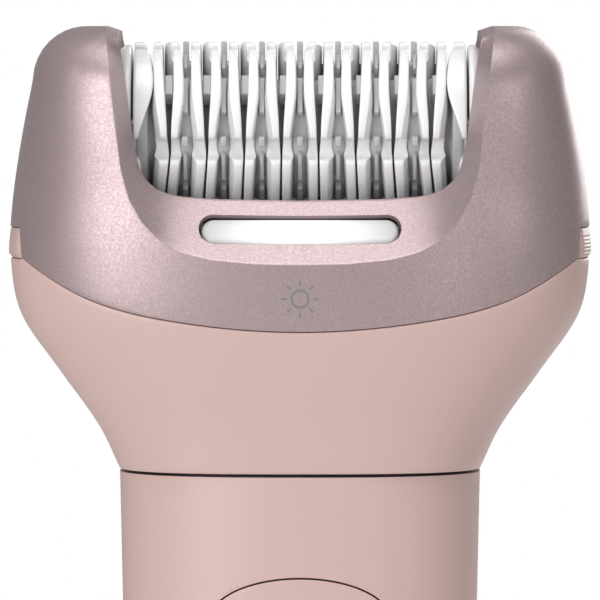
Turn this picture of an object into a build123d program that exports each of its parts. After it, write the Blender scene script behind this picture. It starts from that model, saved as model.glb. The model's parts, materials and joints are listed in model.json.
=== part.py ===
"""Cordless epilator, standing upright on its base.

Millimetres. +Z is up, the front faces -Y and +X is to the right. The origin is the centre of the
flat base. Bottom to top: handle, lift-off head with its gear train, tweezer barrel and lift-off cap.
"""
from build123d import *
from math import atan2, cos, pi, radians, sin, sqrt, tan
import os

# ---------------------------------------------------------------- overall sizes
HANDLE_TOP = 119.6
NECK_SEAM = 0.35
HEAD_HEIGHT = 50.05
HEAD_BOTTOM = HANDLE_TOP + NECK_SEAM
CAP_TOP = HEAD_BOTTOM + HEAD_HEIGHT
SHELL_WALL = 2.0
HEAD_WALL = 1.7

# Outer form: height, half width, half depth, centre in y
HANDLE_STATIONS = (
    (0.0, 15.6, 12.0, 2.6),
    (6.0, 16.4, 12.7, 2.4),
    (32.0, 17.6, 13.7, 1.5),
    (62.0, 18.7, 14.4, 0.6),
    (92.0, 19.8, 14.8, 0.1),
    (HANDLE_TOP, 20.45, 15.0, 0.0),
)
HEAD_STATIONS = (
    (HEAD_BOTTOM, 20.45, 15.0, 0.0),
    (HEAD_BOTTOM + 4.85, 22.8, 15.6, 0.0),
    (HEAD_BOTTOM + 11.05, 27.2, 16.7, 0.0),
    (CAP_TOP - 32.5, 31.6, 17.7, 0.0),
    (CAP_TOP - 26.0, 32.8, 18.0, 0.0),
    (CAP_TOP - 20.0, 32.6, 17.8, 0.0),
    (CAP_TOP - 12.0, 31.4, 17.0, 0.0),
    (CAP_TOP - 4.0, 29.7, 15.8, 0.0),
    (CAP_TOP + 4.0, 27.6, 14.2, 0.0),
)
# Rounded shoulders over the top: half width or depth, and radius
SHOULDER_WIDTH = (30.4, 6.2)
SHOULDER_DEPTH = (16.6, 9.0)
HANDLE_SQUARENESS = 2.4
HEAD_SQUARENESS = 2.8
SECTION_POINTS = 20
SPLIT_Y = 1.0

# ---------------------------------------------------------------- clearances
RUNNING_GAP = 0.05
SLIDE_GAP = 0.2
SEAM_GAP = 0.12
PANEL_GAP = 0.12
LIFT_GAP = 0.3

# ---------------------------------------------------------------- barrel and gears
BARREL_Z = CAP_TOP - 11.8
BARREL_R = 10.0
HUB_R = 6.8
PAIR_PITCH = 4.3
PAIR_COUNT = 8
DISC_THICKNESS = 1.07
PETAL_COUNT = 4
NOTCH_ANGLE = -12.7
NOTCH_WIDTH = 2.2
NOTCH_FLOOR_R = 8.0
# Half gap inside a pair against height above the axis
DISC_BEND = ((BARREL_R, 0.60), (4.0, 0.30), (-1.0, 0.20), (-BARREL_R, 0.16))
END_PETAL_X = 17.0
END_DISC_X = 18.8
BARREL_END_X = 20.7
END_DOME = 1.2

GEAR_MODULE = 0.6
BARREL_TEETH = 22
IDLER_TEETH = 16
CROSS_TEETH = 14
CROWN_TEETH = 24
PINION_TEETH = 12
PRESSURE_ANGLE = 20.0
ADDENDUM = 0.8 * GEAR_MODULE
DEDENDUM = 1.2 * GEAR_MODULE
TOOTH_PLAY = 0.16
CROWN_PLAY = 0.40
CROWN_TOOTH_LENGTH = 1.0
CROWN_PLATE = 2.0
GEAR_X = 23.4
GEAR_FACE = 3.0

IDLER_Z = BARREL_Z - GEAR_MODULE * (BARREL_TEETH + IDLER_TEETH) / 2
CROSS_Z = IDLER_Z - GEAR_MODULE * (IDLER_TEETH + CROSS_TEETH) / 2
CROWN_R = GEAR_MODULE * CROWN_TEETH / 2
PINION_R = GEAR_MODULE * PINION_TEETH / 2
MESH_Z = CROSS_Z - CROWN_R
AXLE_R = 1.5
BUSH_R = 2.7

# ---------------------------------------------------------------- chassis in the head
ARM_X = 21.3
ARM_THICKNESS = 1.5
ARM_HALF_DEPTH = 9.4
DECK_GAP = 0.9
DECK_THICKNESS = 1.0
BASE_PLATE_Z = HEAD_BOTTOM + 4.05
BASE_PLATE = 2.0
FOOT_X = 16.4
SHOULDER_Z = HEAD_BOTTOM + 12.05
HEAD_SCREW_X = 12.0
GEARBOX_X = 27.9
GEARBOX_WALL = 1.0
GEARBOX_HALF_DEPTH = 8.6
GEARBOX_Z = (CAP_TOP - 31.0, CAP_TOP - 22.6)

# ---------------------------------------------------------------- saddle opening of the cap
LIP_Y = 10.6
BAND_Y = 19.0
LIP_SIDE_TOP = (21.3, CAP_TOP + 3.0)
LIP_SIDE_LOW = (18.6, CAP_TOP - 15.4)
LIP_CORNER = (17.3, CAP_TOP - 17.9)
LIP_FLOOR_END = (13.7, CAP_TOP - 19.2)
LIP_FLOOR_Z = CAP_TOP - 19.6
BAND_SIDE_TOP = (26.6, CAP_TOP + 3.0)
BAND_SIDE_LOW = (21.9, CAP_TOP - 16.6)
BAND_CORNER = (19.4, CAP_TOP - 23.4)
BAND_FLOOR_END = (13.6, CAP_TOP - 26.6)
BAND_FLOOR_Z = CAP_TOP - 27.3
BAND_WALL = 1.7

# Seam between the cap and the housing, seen from the front
SEAM_POINTS = (
    (0.0, CAP_TOP - 34.0),
    (13.0, CAP_TOP - 33.0),
    (23.2, CAP_TOP - 30.6),
    (31.3, CAP_TOP - 26.0),
    (37.0, CAP_TOP - 21.2),
)

LENS_HALF_LENGTH = 11.0
LENS_HALF_HEIGHT = 1.3
LENS_Z = CAP_TOP - 23.1
LENS_THICKNESS = 1.2
LENS_RECESS = 0.15

# ---------------------------------------------------------------- side tabs
TAB_Z = (CAP_TOP - 26.1, CAP_TOP - 22.7)
TAB_HALF_DEPTH = 8.0
TAB_INNER_X = 29.6
TAB_OUTER_X = 33.1
TAB_FACE_R = 27.3
TAB_CHAMFER = 0.5
TAB_RIB_COUNT = 8
TAB_RIB_DEPTH = 0.25
TAB_GROOVE = 0.2
TAB_SPRING_R = 1.4
TAB_SPRING_WIRE_R = 0.18
TAB_SPRING_TURNS = 2
TAB_SPRING_GAP = 0.25

LIGHT_BOARD_Z = (BAND_FLOOR_Z - 6.2, BAND_FLOOR_Z - 1.7)
LIGHT_BOARD_Y = -13.6
LIGHT_BOARD_HALF = 9.0
LIGHT_BOARD_THICKNESS = 1.0
LIGHT_BRACKET = (2.0, 1.5)
LED_X = 4.5
LED_SIZE = (2.4, 1.0, 2.4)

HEAD_SCREW_R = 1.0
HEAD_SCREW_HEAD = (1.9, 1.2)
DRIVE_HOLE_R = 5.0
IDLER_PIN_R = 1.2

# ---------------------------------------------------------------- handle pieces
BASE_CAP_HEIGHT = 6.0
BASE_EDGE = 1.0
PANEL_Z = 82.0
PANEL_HALF_WIDTH = 10.0
PANEL_HALF_HEIGHT = 26.2
PANEL_END_HEIGHT = 4.7
BUTTON_Z = 72.0
BUTTON_R = 6.0
BUTTON_PROUD = 0.35
BUTTON_DEPTH = 4.0
BUTTON_FLANGE = 1.1
BUTTON_TRAVEL = 0.8
LAMP_Z = 92.0
LAMP_R = 1.5

MOTOR_R = 10.0
MOTOR_FLAT_Y = 7.6
MOTOR_Z = (HANDLE_TOP - 35.6, HANDLE_TOP - 11.6)
MOTOR_WALL = 0.8
MOTOR_BELL = 2.0
MOTOR_MOUNT = 2.4
MOTOR_SHAFT_R = 1.0
SCREW_X = 7.0
BATTERY_R = 7.0
BATTERY_Z = (28.0, 78.0)
BATTERY_Y = 3.6
CHASSIS_HALF_WIDTH = 12.0
CHASSIS_Y = (-5.2, -3.9)
CHASSIS_RIB = 2.0
BOARD_Y = (-6.9, -5.4)
BOARD_HALF_WIDTH = 10.5
BOARD_Z = (32.0, 79.0)

COLLAR_THICKNESS = 3.0
SEAL_INSET = 0.6
SEAL_THICKNESS = 0.22
COLLAR_BORE_R = 11.3
SPIGOT_R = COLLAR_BORE_R - LIFT_GAP
SPIGOT_BORE_R = 8.6
SPIGOT_LENGTH = 5.0
HEX_FLATS = 4.0
HEX_GAP = 0.25
HEX_Z = (HANDLE_TOP - 6.8, HANDLE_TOP - 4.0)
SOCKET_R = 4.2
SOCKET_DEPTH = 3.6
SOCKET_LENGTH = 5.2

RELEASE_Z = HANDLE_TOP - 15.6
RELEASE_HALF_WIDTH = 6.0
RELEASE_HALF_HEIGHT = 3.5
RELEASE_PROUD = 0.4

JACK_R = 1.75
JACK_DEPTH = 9.0
JACK_BODY = 9.0
JACK_Y = 2.0
JACK_MOUTH_R = 2.6


# ---------------------------------------------------------------- helpers
def block(x_limits, y_limits, z_limits):
    """Box between three pairs of limits."""
    (x0, x1), (y0, y1), (z0, z1) = x_limits, y_limits, z_limits
    centre = Pos((x0 + x1) / 2, (y0 + y1) / 2, (z0 + z1) / 2)
    return centre * Box(x1 - x0, y1 - y0, z1 - z0)


def rod(axis, radius, start, end, across=(0.0, 0.0)):
    """Cylinder along X, Y or Z from start to end; across gives its two other coordinates in order."""
    u, v = across
    middle = (start + end) / 2
    length = abs(end - start)
    if axis == "X":
        return Pos(middle, u, v) * Rot(0, 90, 0) * Cylinder(radius, length)
    if axis == "Y":
        return Pos(u, middle, v) * Rot(90, 0, 0) * Cylinder(radius, length)
    return Pos(u, v, middle) * Cylinder(radius, length)


def stations_at(stations, z):
    """Half width, half depth and centre at a height, on a smooth curve through the stations."""
    index = 0
    while index < len(stations) - 2 and z > stations[index + 1][0]:
        index += 1
    low, high = stations[index], stations[index + 1]
    before = stations[max(index - 1, 0)]
    after = stations[min(index + 2, len(stations) - 1)]
    span = high[0] - low[0]
    t = (z - low[0]) / span
    values = []
    for k in (1, 2, 3):
        slope_low = (high[k] - before[k]) / (high[0] - before[0]) * span
        slope_high = (after[k] - low[k]) / (after[0] - low[0]) * span
        values.append(
            (2 * t**3 - 3 * t**2 + 1) * low[k]
            + (t**3 - 2 * t**2 + t) * slope_low
            + (3 * t**2 - 2 * t**3) * high[k]
            + (t**3 - t**2) * slope_high
        )
    return values


def section(stations, squareness, z, inset=0.0):
    """Rounded-rectangle face across the outer form at one height."""
    half_width, half_depth, centre = stations_at(stations, z)
    half_width -= inset
    half_depth -= inset
    points = []
    for step in range(SECTION_POINTS):
        angle = 2 * pi * step / SECTION_POINTS
        c, s = cos(angle), sin(angle)
        radius = (abs(c) ** squareness + abs(s) ** squareness) ** (-1 / squareness)
        points.append((half_width * c * radius, centre + half_depth * s * radius, z))
    return Face(Wire([Edge.make_spline([Vector(*p) for p in points], periodic=True)]))


def form(stations, squareness, inset=0.0):
    """Solid that follows the outer form, drawn in by inset."""
    return loft([section(stations, squareness, station[0], inset) for station in stations])


def shoulder_prism(plane, half, radius, inset):
    """Slab through the head, wide below and with two rounded shoulders at the cap's top."""
    top = CAP_TOP - inset
    low = HEAD_BOTTOM - 5.0
    outline = Pos(0, (top + low) / 2) * Rectangle(2 * (half - inset), top - low)
    rounded = fillet(outline.vertices().group_by(Axis.Y)[-1], radius - inset)
    wide_top = CAP_TOP - radius
    rounded += Pos(0, (wide_top + low) / 2) * Rectangle(4 * half, wide_top - low)
    return extrude(plane * rounded, amount=2 * half, both=True)


def head_form(inset=0.0):
    """The head's outer form, drawn in by inset."""
    shape = form(HEAD_STATIONS, HEAD_SQUARENESS, inset)
    shape &= shoulder_prism(Plane.XZ, *SHOULDER_WIDTH, inset)
    return shape & shoulder_prism(Plane.YZ, *SHOULDER_DEPTH, inset)


def between(shape, low, high):
    """The part of a shape between two heights."""
    reach = 2 * HEAD_STATIONS[4][1]
    return shape & block((-reach, reach), (-reach, reach), (low, high))


HANDLE_OUTER = form(HANDLE_STATIONS, HANDLE_SQUARENESS)
HANDLE_INNER = form(HANDLE_STATIONS, HANDLE_SQUARENESS, SHELL_WALL)
HEAD_OUTER = head_form()
HEAD_INNER = head_form(HEAD_WALL)


def handle_front_y(z):
    _, half_depth, centre = stations_at(HANDLE_STATIONS, z)
    return centre - half_depth


def handle_back_y(z):
    _, half_depth, centre = stations_at(HANDLE_STATIONS, z)
    return centre + half_depth


def gear_outline(teeth, tooth_angle, play):
    """Spur gear face about the origin, with one tooth centred on tooth_angle (degrees)."""
    pitch_r = GEAR_MODULE * teeth / 2
    base_r = pitch_r * cos(radians(PRESSURE_ANGLE))
    root_r = pitch_r - DEDENDUM
    tip_r = pitch_r + ADDENDUM

    def involute(radius):
        """Polar angle that the flank has turned at a radius."""
        if radius <= base_r:
            return 0.0
        roll = sqrt((radius / base_r) ** 2 - 1)
        return roll - atan2(roll, 1.0)

    half_at_pitch = pi / (2 * teeth) - play / (2 * pitch_r)
    flank = [root_r, pitch_r, tip_r]
    points = []
    for tooth in range(teeth):
        centre = radians(tooth_angle) + 2 * pi * tooth / teeth
        half_angles = [half_at_pitch + involute(pitch_r) - involute(r) for r in flank]
        for r, half in zip(flank, half_angles):
            points.append((r * cos(centre - half), r * sin(centre - half)))
        for r, half in zip(reversed(flank), reversed(half_angles)):
            points.append((r * cos(centre + half), r * sin(centre + half)))
    return make_face(Polyline(*points, close=True))


def spur_gear_x(teeth, z, tooth_angle, bore_r, play=TOOTH_PLAY):
    """Spur gear on an axis along X in the ear, with angles from +Y towards +Z."""
    plane = Plane(origin=(GEAR_X, 0, z), x_dir=(0, 1, 0), z_dir=(1, 0, 0))
    gear = extrude(plane * gear_outline(teeth, tooth_angle, play), amount=GEAR_FACE)
    return gear - rod("X", bore_r, GEAR_X - 1, GEAR_X + GEAR_FACE + 1, (0, z))


def coil_spring(radius, wire_r, length, turns, start, direction):
    """Closed wire coil that starts at a point and runs along a direction."""
    path = Helix(pitch=length / turns, height=length, radius=radius)
    wire = sweep(Plane(origin=path @ 0, z_dir=path % 0) * Circle(wire_r), path=path, is_frenet=True)
    return Plane(origin=start, z_dir=direction) * wire


def save(node, shape):
    """Write one named piece."""
    shape.label = node
    export_step(shape, f"parts/{node}.step")


# ---------------------------------------------------------------- handle
def oval_prism(grow):
    """Long prism with arched ends through the front of the handle, where the panel sits."""
    half_width, end_height = PANEL_HALF_WIDTH + grow, PANEL_END_HEIGHT + grow
    end_z = PANEL_HALF_HEIGHT - PANEL_END_HEIGHT
    outline = Rectangle(2 * half_width, 2 * end_z)
    for end in (-1, 1):
        outline += Pos(0, end * end_z) * Ellipse(half_width, end_height)
    return extrude(Plane.XZ.offset(-SPLIT_Y) * Pos(0, PANEL_Z) * outline, amount=HANDLE_TOP / 4)


def handle_pieces():
    shell = between(HANDLE_OUTER - HANDLE_INNER, BASE_CAP_HEIGHT, HANDLE_TOP)
    reach = 2 * HANDLE_STATIONS[-1][1]
    front_half = block((-reach, reach), (-reach, SPLIT_Y), (0, HANDLE_TOP))
    rear_half = block((-reach, reach), (SPLIT_Y, reach), (0, HANDLE_TOP))

    panel = (shell & front_half) & oval_prism(0)
    button_hole = rod("Y", BUTTON_R + SLIDE_GAP, -reach, 0, (0, BUTTON_Z))
    lamp_hole = rod("Y", LAMP_R, -reach, 0, (0, LAMP_Z))
    save("handle_front_shell", (shell & front_half) - oval_prism(PANEL_GAP))
    save("front_panel", panel - button_hole - lamp_hole)
    save("indicator_lens", (shell & front_half) & lamp_hole)

    release_hole = block(
        (-RELEASE_HALF_WIDTH - SLIDE_GAP, RELEASE_HALF_WIDTH + SLIDE_GAP),
        (SPLIT_Y + 1, reach),
        (RELEASE_Z - RELEASE_HALF_HEIGHT - SLIDE_GAP, RELEASE_Z + RELEASE_HALF_HEIGHT + SLIDE_GAP),
    )
    save("handle_rear_shell", (shell & rear_half) - release_hole)

    base = between(HANDLE_OUTER, 0, BASE_CAP_HEIGHT)
    base = chamfer(base.edges().group_by(Axis.Z)[0], BASE_EDGE)
    base -= between(HANDLE_INNER, SHELL_WALL, BASE_CAP_HEIGHT)
    base -= rod("Z", JACK_MOUTH_R, -1, SHELL_WALL + 1, (0, JACK_Y))
    save("base_cap", base)

    collar_low = HANDLE_TOP - COLLAR_THICKNESS
    collar_face = section(HANDLE_STATIONS, HANDLE_SQUARENESS, collar_low, SHELL_WALL + PANEL_GAP)
    collar = extrude(collar_face, amount=COLLAR_THICKNESS, dir=(0, 0, 1))
    save("neck_collar", collar - rod("Z", COLLAR_BORE_R, 0, CAP_TOP))
    seal_face = section(HANDLE_STATIONS, HANDLE_SQUARENESS, HANDLE_TOP, SEAL_INSET)
    seal = extrude(seal_face, amount=SEAL_THICKNESS, dir=(0, 0, 1))
    save("neck_seal", seal - rod("Z", COLLAR_BORE_R, 0, CAP_TOP))


def button_pieces():
    face_y = handle_front_y(BUTTON_Z) - BUTTON_PROUD
    back_y = face_y + BUTTON_DEPTH
    cap = rod("Y", BUTTON_R, face_y, back_y, (0, BUTTON_Z))
    cap = fillet(cap.edges().group_by(Axis.Y)[0], 0.6)
    inner_y = handle_front_y(BUTTON_Z - BUTTON_R) + SHELL_WALL + 3 * SLIDE_GAP
    cap += rod("Y", BUTTON_R + BUTTON_FLANGE, inner_y, back_y, (0, BUTTON_Z))
    save("power_button", cap)

    membrane_y = back_y + BUTTON_TRAVEL + 0.1
    save("button_membrane", rod("Y", BUTTON_R, membrane_y, membrane_y + 0.6, (0, BUTTON_Z)))
    switch_y = membrane_y + 0.6
    switch = block((-3, 3), (switch_y + 1, BOARD_Y[0]), (BUTTON_Z - 3, BUTTON_Z + 3))
    switch += rod("Y", 1.6, switch_y, switch_y + 1.2, (0, BUTTON_Z))
    save("tact_switch", switch)

    back = handle_back_y(RELEASE_Z)
    release = block(
        (-RELEASE_HALF_WIDTH, RELEASE_HALF_WIDTH),
        (back - 4.4, back + RELEASE_PROUD),
        (RELEASE_Z - RELEASE_HALF_HEIGHT, RELEASE_Z + RELEASE_HALF_HEIGHT),
    )
    release = fillet(release.edges().filter_by(Axis.Y), 1.2)
    release += block(
        (-RELEASE_HALF_WIDTH - 1, RELEASE_HALF_WIDTH + 1),
        (back - 4.4, back - SHELL_WALL - 1.2),
        (RELEASE_Z - RELEASE_HALF_HEIGHT - 0.8, RELEASE_Z + RELEASE_HALF_HEIGHT + 0.8),
    )
    save("release_button", release)
    spring_start = MOTOR_FLAT_Y + 0.25
    spring_length = back - 4.4 - spring_start - 0.25
    save(
        "release_spring",
        coil_spring(2.2, 0.22, spring_length, 3, (0, spring_start, RELEASE_Z), (0, 1, 0)),
    )


def motor_pieces():
    low, high = MOTOR_Z
    flats = block((-MOTOR_R, MOTOR_R), (-MOTOR_FLAT_Y, MOTOR_FLAT_Y), (low - 1, high + 1))
    can = rod("Z", MOTOR_R, low + MOTOR_BELL, high) & flats
    hollow = rod("Z", MOTOR_R - MOTOR_WALL, low, high - MOTOR_WALL)
    inner_flats = block(
        (-MOTOR_R, MOTOR_R),
        (-MOTOR_FLAT_Y + MOTOR_WALL, MOTOR_FLAT_Y - MOTOR_WALL),
        (low, high),
    )
    can -= hollow & inner_flats
    can -= rod("Z", BUSH_R, low, high + 1)
    for x in (-SCREW_X, SCREW_X):
        can -= rod("Z", 1.0, low, high + 1, (x, 0))
    save("motor_can", can)
    bush_top = rod("Z", BUSH_R, high - MOTOR_WALL - 1.2, high + 1.0)
    save("motor_bush", bush_top - rod("Z", MOTOR_SHAFT_R + RUNNING_GAP, low, HEX_Z[1]))
    bell = rod("Z", MOTOR_R, low, low + MOTOR_BELL) & flats
    save("motor_end_bell", bell - rod("Z", MOTOR_SHAFT_R + RUNNING_GAP, low + 0.6, high))

    magnets = rod("Z", MOTOR_R - MOTOR_WALL, low + 4, high - 3) & inner_flats
    magnets -= rod("Z", MOTOR_R - 2.6, low, high)
    magnets -= block((-4.5, 4.5), (-MOTOR_R, MOTOR_R), (low, high))
    save("motor_magnets", magnets)

    shaft_low = low + 0.6
    save("motor_shaft", rod("Z", MOTOR_SHAFT_R, shaft_low + 0.1, HEX_Z[1] - 0.4))
    armature = rod("Z", 6.2, low + 5, high - 4)
    for pole in range(3):
        armature -= Rot(0, 0, 120 * pole + 60) * block((3.2, 7), (-0.7, 0.7), (low, high))
    save("motor_armature", armature - rod("Z", MOTOR_SHAFT_R, low, high))
    hexagon = RegularPolygon(HEX_FLATS / 2, 6, major_radius=False)
    drive = extrude(Plane.XY.offset(HEX_Z[0]) * hexagon, amount=HEX_Z[1] - HEX_Z[0])
    save("motor_coupling", drive - rod("Z", MOTOR_SHAFT_R, HEX_Z[0] - 1, HEX_Z[1] - 0.4))

    mount = block((-11.5, 11.5), (-9, 9), (high, high + MOTOR_MOUNT))
    mount -= rod("Z", BUSH_R + 0.3, high - 1, high + MOTOR_MOUNT + 1)
    screw_list = []
    for x in (-SCREW_X, SCREW_X):
        mount -= rod("Z", 1.1, high - 1, high + MOTOR_MOUNT + 1, (x, 0))
        shank = rod("Z", 1.0, high - MOTOR_WALL + 0.1, high + MOTOR_MOUNT, (x, 0))
        head = rod("Z", 1.9, high + MOTOR_MOUNT, high + MOTOR_MOUNT + 1.2, (x, 0))
        slot = block((x - 1.4, x + 1.4), (-0.25, 0.25), (high + MOTOR_MOUNT + 0.6, HEX_Z[1]))
        screw_list.append(shank + head - slot)
    save("motor_mount", mount)
    return screw_list


def power_pieces():
    low, high = BATTERY_Z
    cell = rod("Z", BATTERY_R, low, high - 1.2, (0, BATTERY_Y))
    cell = fillet(cell.edges(), 0.5) + rod("Z", 2.6, high - 1.7, high, (0, BATTERY_Y))
    save("battery_cell", cell)
    plate = (-4.0, 4.0), (BATTERY_Y - 4, BATTERY_Y + 4)
    contacts = [block(*plate, (low - 0.5, low)), block(*plate, (high, high + 0.5))]
    save("battery_contacts", Compound(children=contacts))

    half = CHASSIS_HALF_WIDTH
    chassis = block((-half, half), CHASSIS_Y, (low - 0.5 - CHASSIS_RIB, high + 0.5 + CHASSIS_RIB))
    for rib_low in (low - 0.5 - CHASSIS_RIB, high + 0.5):
        chassis += block((-half + 2, half - 2), (CHASSIS_Y[0], 11.0), (rib_low, rib_low + CHASSIS_RIB))
    for side in (-1, 1):
        limits = sorted((side * (BATTERY_R + 0.4), side * (BATTERY_R + 1.6)))
        chassis += block(limits, (CHASSIS_Y[0], BATTERY_Y), (low - 0.5, high + 0.5))
    foot_low = low - 0.5 - CHASSIS_RIB
    for side in (-1, 1):
        limits = sorted((side * 6.5, side * 9.5))
        chassis += block(limits, CHASSIS_Y, (SHELL_WALL, foot_low))
    save("handle_chassis", chassis)

    board = block((-BOARD_HALF_WIDTH, BOARD_HALF_WIDTH), BOARD_Y, BOARD_Z)
    board -= rod("Y", 1.1, -10, 0, (8.5, BOARD_Z[0] + 3)) + rod("Y", 1.1, -10, 0, (-8.5, BOARD_Z[0] + 3))
    solids = [board]
    for x, z, w, h in ((-4, 52, 6, 6), (5, 46, 4, 7), (6, 60, 3, 3), (-6, 62, 3, 2)):
        limits = (x - w / 2, x + w / 2), (BOARD_Y[0] - 1, BOARD_Y[0]), (z - h / 2, z + h / 2)
        solids.append(block(*limits))
    save("circuit_board", Compound(children=solids))

    jack_low = SHELL_WALL
    jack = block(
        (-JACK_BODY / 2, JACK_BODY / 2),
        (JACK_Y - JACK_BODY / 2 + 1, JACK_Y + JACK_BODY / 2),
        (jack_low, jack_low + JACK_DEPTH + 2),
    )
    save("charging_socket", jack - rod("Z", JACK_R, 0, jack_low + JACK_DEPTH, (0, JACK_Y)))


# ---------------------------------------------------------------- head
def seam_region(offset, above):
    """Everything above (or below) the seam curve, moved up by offset."""
    right = [(x, z + offset) for x, z in SEAM_POINTS]
    left = [(-x, z) for x, z in reversed(right[1:])]
    curve = Spline(*(left + right))
    far_x = SEAM_POINTS[-1][0]
    end_z = SEAM_POINTS[-1][1] + offset
    far_z = CAP_TOP + 10 if above else HEAD_BOTTOM - 10
    frame = Polyline((far_x, end_z), (far_x, far_z), (-far_x, far_z), (-far_x, end_z))
    region = Plane.XZ * make_face(Curve() + [curve, frame])
    return extrude(region, amount=40, both=True)


def saddle_outline(side_top, side_low, corner, floor_end, floor_z, grow, y):
    """Closed U-shaped face across Y, open at the top well above the cap."""
    sx, sz = side_top[0] + grow, side_top[1]
    lx, lz = side_low[0] + grow, side_low[1] - grow * 0.2
    cx, cz = corner[0] + grow * 0.75, corner[1] - grow * 0.7
    fx, fz = floor_end[0] + grow * 0.2, floor_end[1] - grow
    bottom = floor_z - grow
    lines = Curve() + [
        Line((-sx, sz), (-lx, lz)),
        ThreePointArc((-lx, lz), (-cx, cz), (-fx, fz)),
        ThreePointArc((-fx, fz), (0, bottom), (fx, fz)),
        ThreePointArc((fx, fz), (cx, cz), (lx, lz)),
        Line((lx, lz), (sx, sz)),
        Line((sx, sz), (-sx, sz)),
    ]
    plane = Plane(origin=(0, y, 0), x_dir=(1, 0, 0), z_dir=(0, -1, 0))
    return plane * make_face(lines)


def lip_outline(y, grow=0.0):
    return saddle_outline(
        LIP_SIDE_TOP, LIP_SIDE_LOW, LIP_CORNER, LIP_FLOOR_END, LIP_FLOOR_Z, grow, y
    )


def band_outline(y, grow=0.0):
    return saddle_outline(
        BAND_SIDE_TOP, BAND_SIDE_LOW, BAND_CORNER, BAND_FLOOR_END, BAND_FLOOR_Z, grow, y
    )


def saddle(grow=0.0):
    """Flared front part of the saddle, from the lip out to the surface."""
    return loft([lip_outline(-LIP_Y, grow), band_outline(-BAND_Y, grow)])


def both_sides(shape):
    """The shape and its copy at the back."""
    return shape + mirror(shape, about=Plane.XZ)


def lens_plane():
    """Plane on the band's floor at the lens, facing outwards."""
    slope = atan2(LIP_FLOOR_Z - BAND_FLOOR_Z, BAND_Y - LIP_Y)
    share = (LENS_Z - BAND_FLOOR_Z) / (LIP_FLOOR_Z - BAND_FLOOR_Z)
    y = -(BAND_Y + (LIP_Y - BAND_Y) * share)
    return Plane(origin=(0, y, LENS_Z), x_dir=(1, 0, 0), z_dir=(0, -sin(slope), cos(slope)))


def lens_prism(grow, low, high):
    """Stadium prism between two depths along the band's normal."""
    outline = SlotOverall(2 * (LENS_HALF_LENGTH + grow), 2 * (LENS_HALF_HEIGHT + grow))
    return extrude(lens_plane().offset(low) * outline, amount=high - low)


def tab_block(side, grow):
    """Space that a side tab fills, wider all round by grow."""
    x_limits = sorted((side * (TAB_INNER_X - grow), side * (TAB_OUTER_X + 1)))
    y_limits = (-TAB_HALF_DEPTH - grow, TAB_HALF_DEPTH + grow)
    return block(x_limits, y_limits, (TAB_Z[0] - grow, TAB_Z[1] + grow))


def cap_piece():
    liner = HEAD_OUTER & both_sides(saddle(BAND_WALL))
    cap = (HEAD_OUTER - HEAD_INNER) + liner
    cap -= extrude(lip_outline(0), amount=40, both=True)
    cap -= both_sides(saddle())
    cap &= seam_region(0, above=True)
    cap -= lens_prism(PANEL_GAP, -LENS_THICKNESS - 4, 3)
    for side in (-1, 1):
        cap -= tab_block(side, SLIDE_GAP)
    save("cap_shell", cap)
    lens = lens_prism(0, -LENS_THICKNESS - LENS_RECESS, -LENS_RECESS)
    save("light_lens", lens)


def housing_piece():
    housing = (HEAD_OUTER - HEAD_INNER) & seam_region(-SEAM_GAP, above=False)
    for side in (-1, 1):
        housing -= tab_block(side, SLIDE_GAP)
    save("head_housing", housing)


def tab_pieces():
    for side, name in ((-1, "left"), (1, "right")):
        axis_at = (side * (TAB_OUTER_X - TAB_FACE_R), 0)
        face = rod("Z", TAB_FACE_R, *TAB_Z, axis_at)
        face = chamfer(face.edges().group_by(Axis.Z)[-1], TAB_CHAMFER)
        grip = tab_block(side, 0) & face
        rib_pitch = (TAB_Z[1] - TAB_Z[0]) / TAB_RIB_COUNT
        for rib in range(1, TAB_RIB_COUNT):
            z = TAB_Z[0] + rib * rib_pitch
            limits = (z - TAB_GROOVE / 2, z + TAB_GROOVE / 2)
            ring = rod("Z", TAB_FACE_R + 2, *limits, axis_at)
            grip -= ring - rod("Z", TAB_FACE_R - TAB_RIB_DEPTH, *limits, axis_at)
        save(f"side_tab_{name}", grip)
        start = (side * (GEARBOX_X + TAB_SPRING_GAP), 0, (TAB_Z[0] + TAB_Z[1]) / 2)
        length = TAB_INNER_X - GEARBOX_X - 2 * TAB_SPRING_GAP
        spring = coil_spring(
            TAB_SPRING_R, TAB_SPRING_WIRE_R, length, TAB_SPRING_TURNS, start, (side, 0, 0)
        )
        save(f"tab_spring_{name}", spring)


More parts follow.
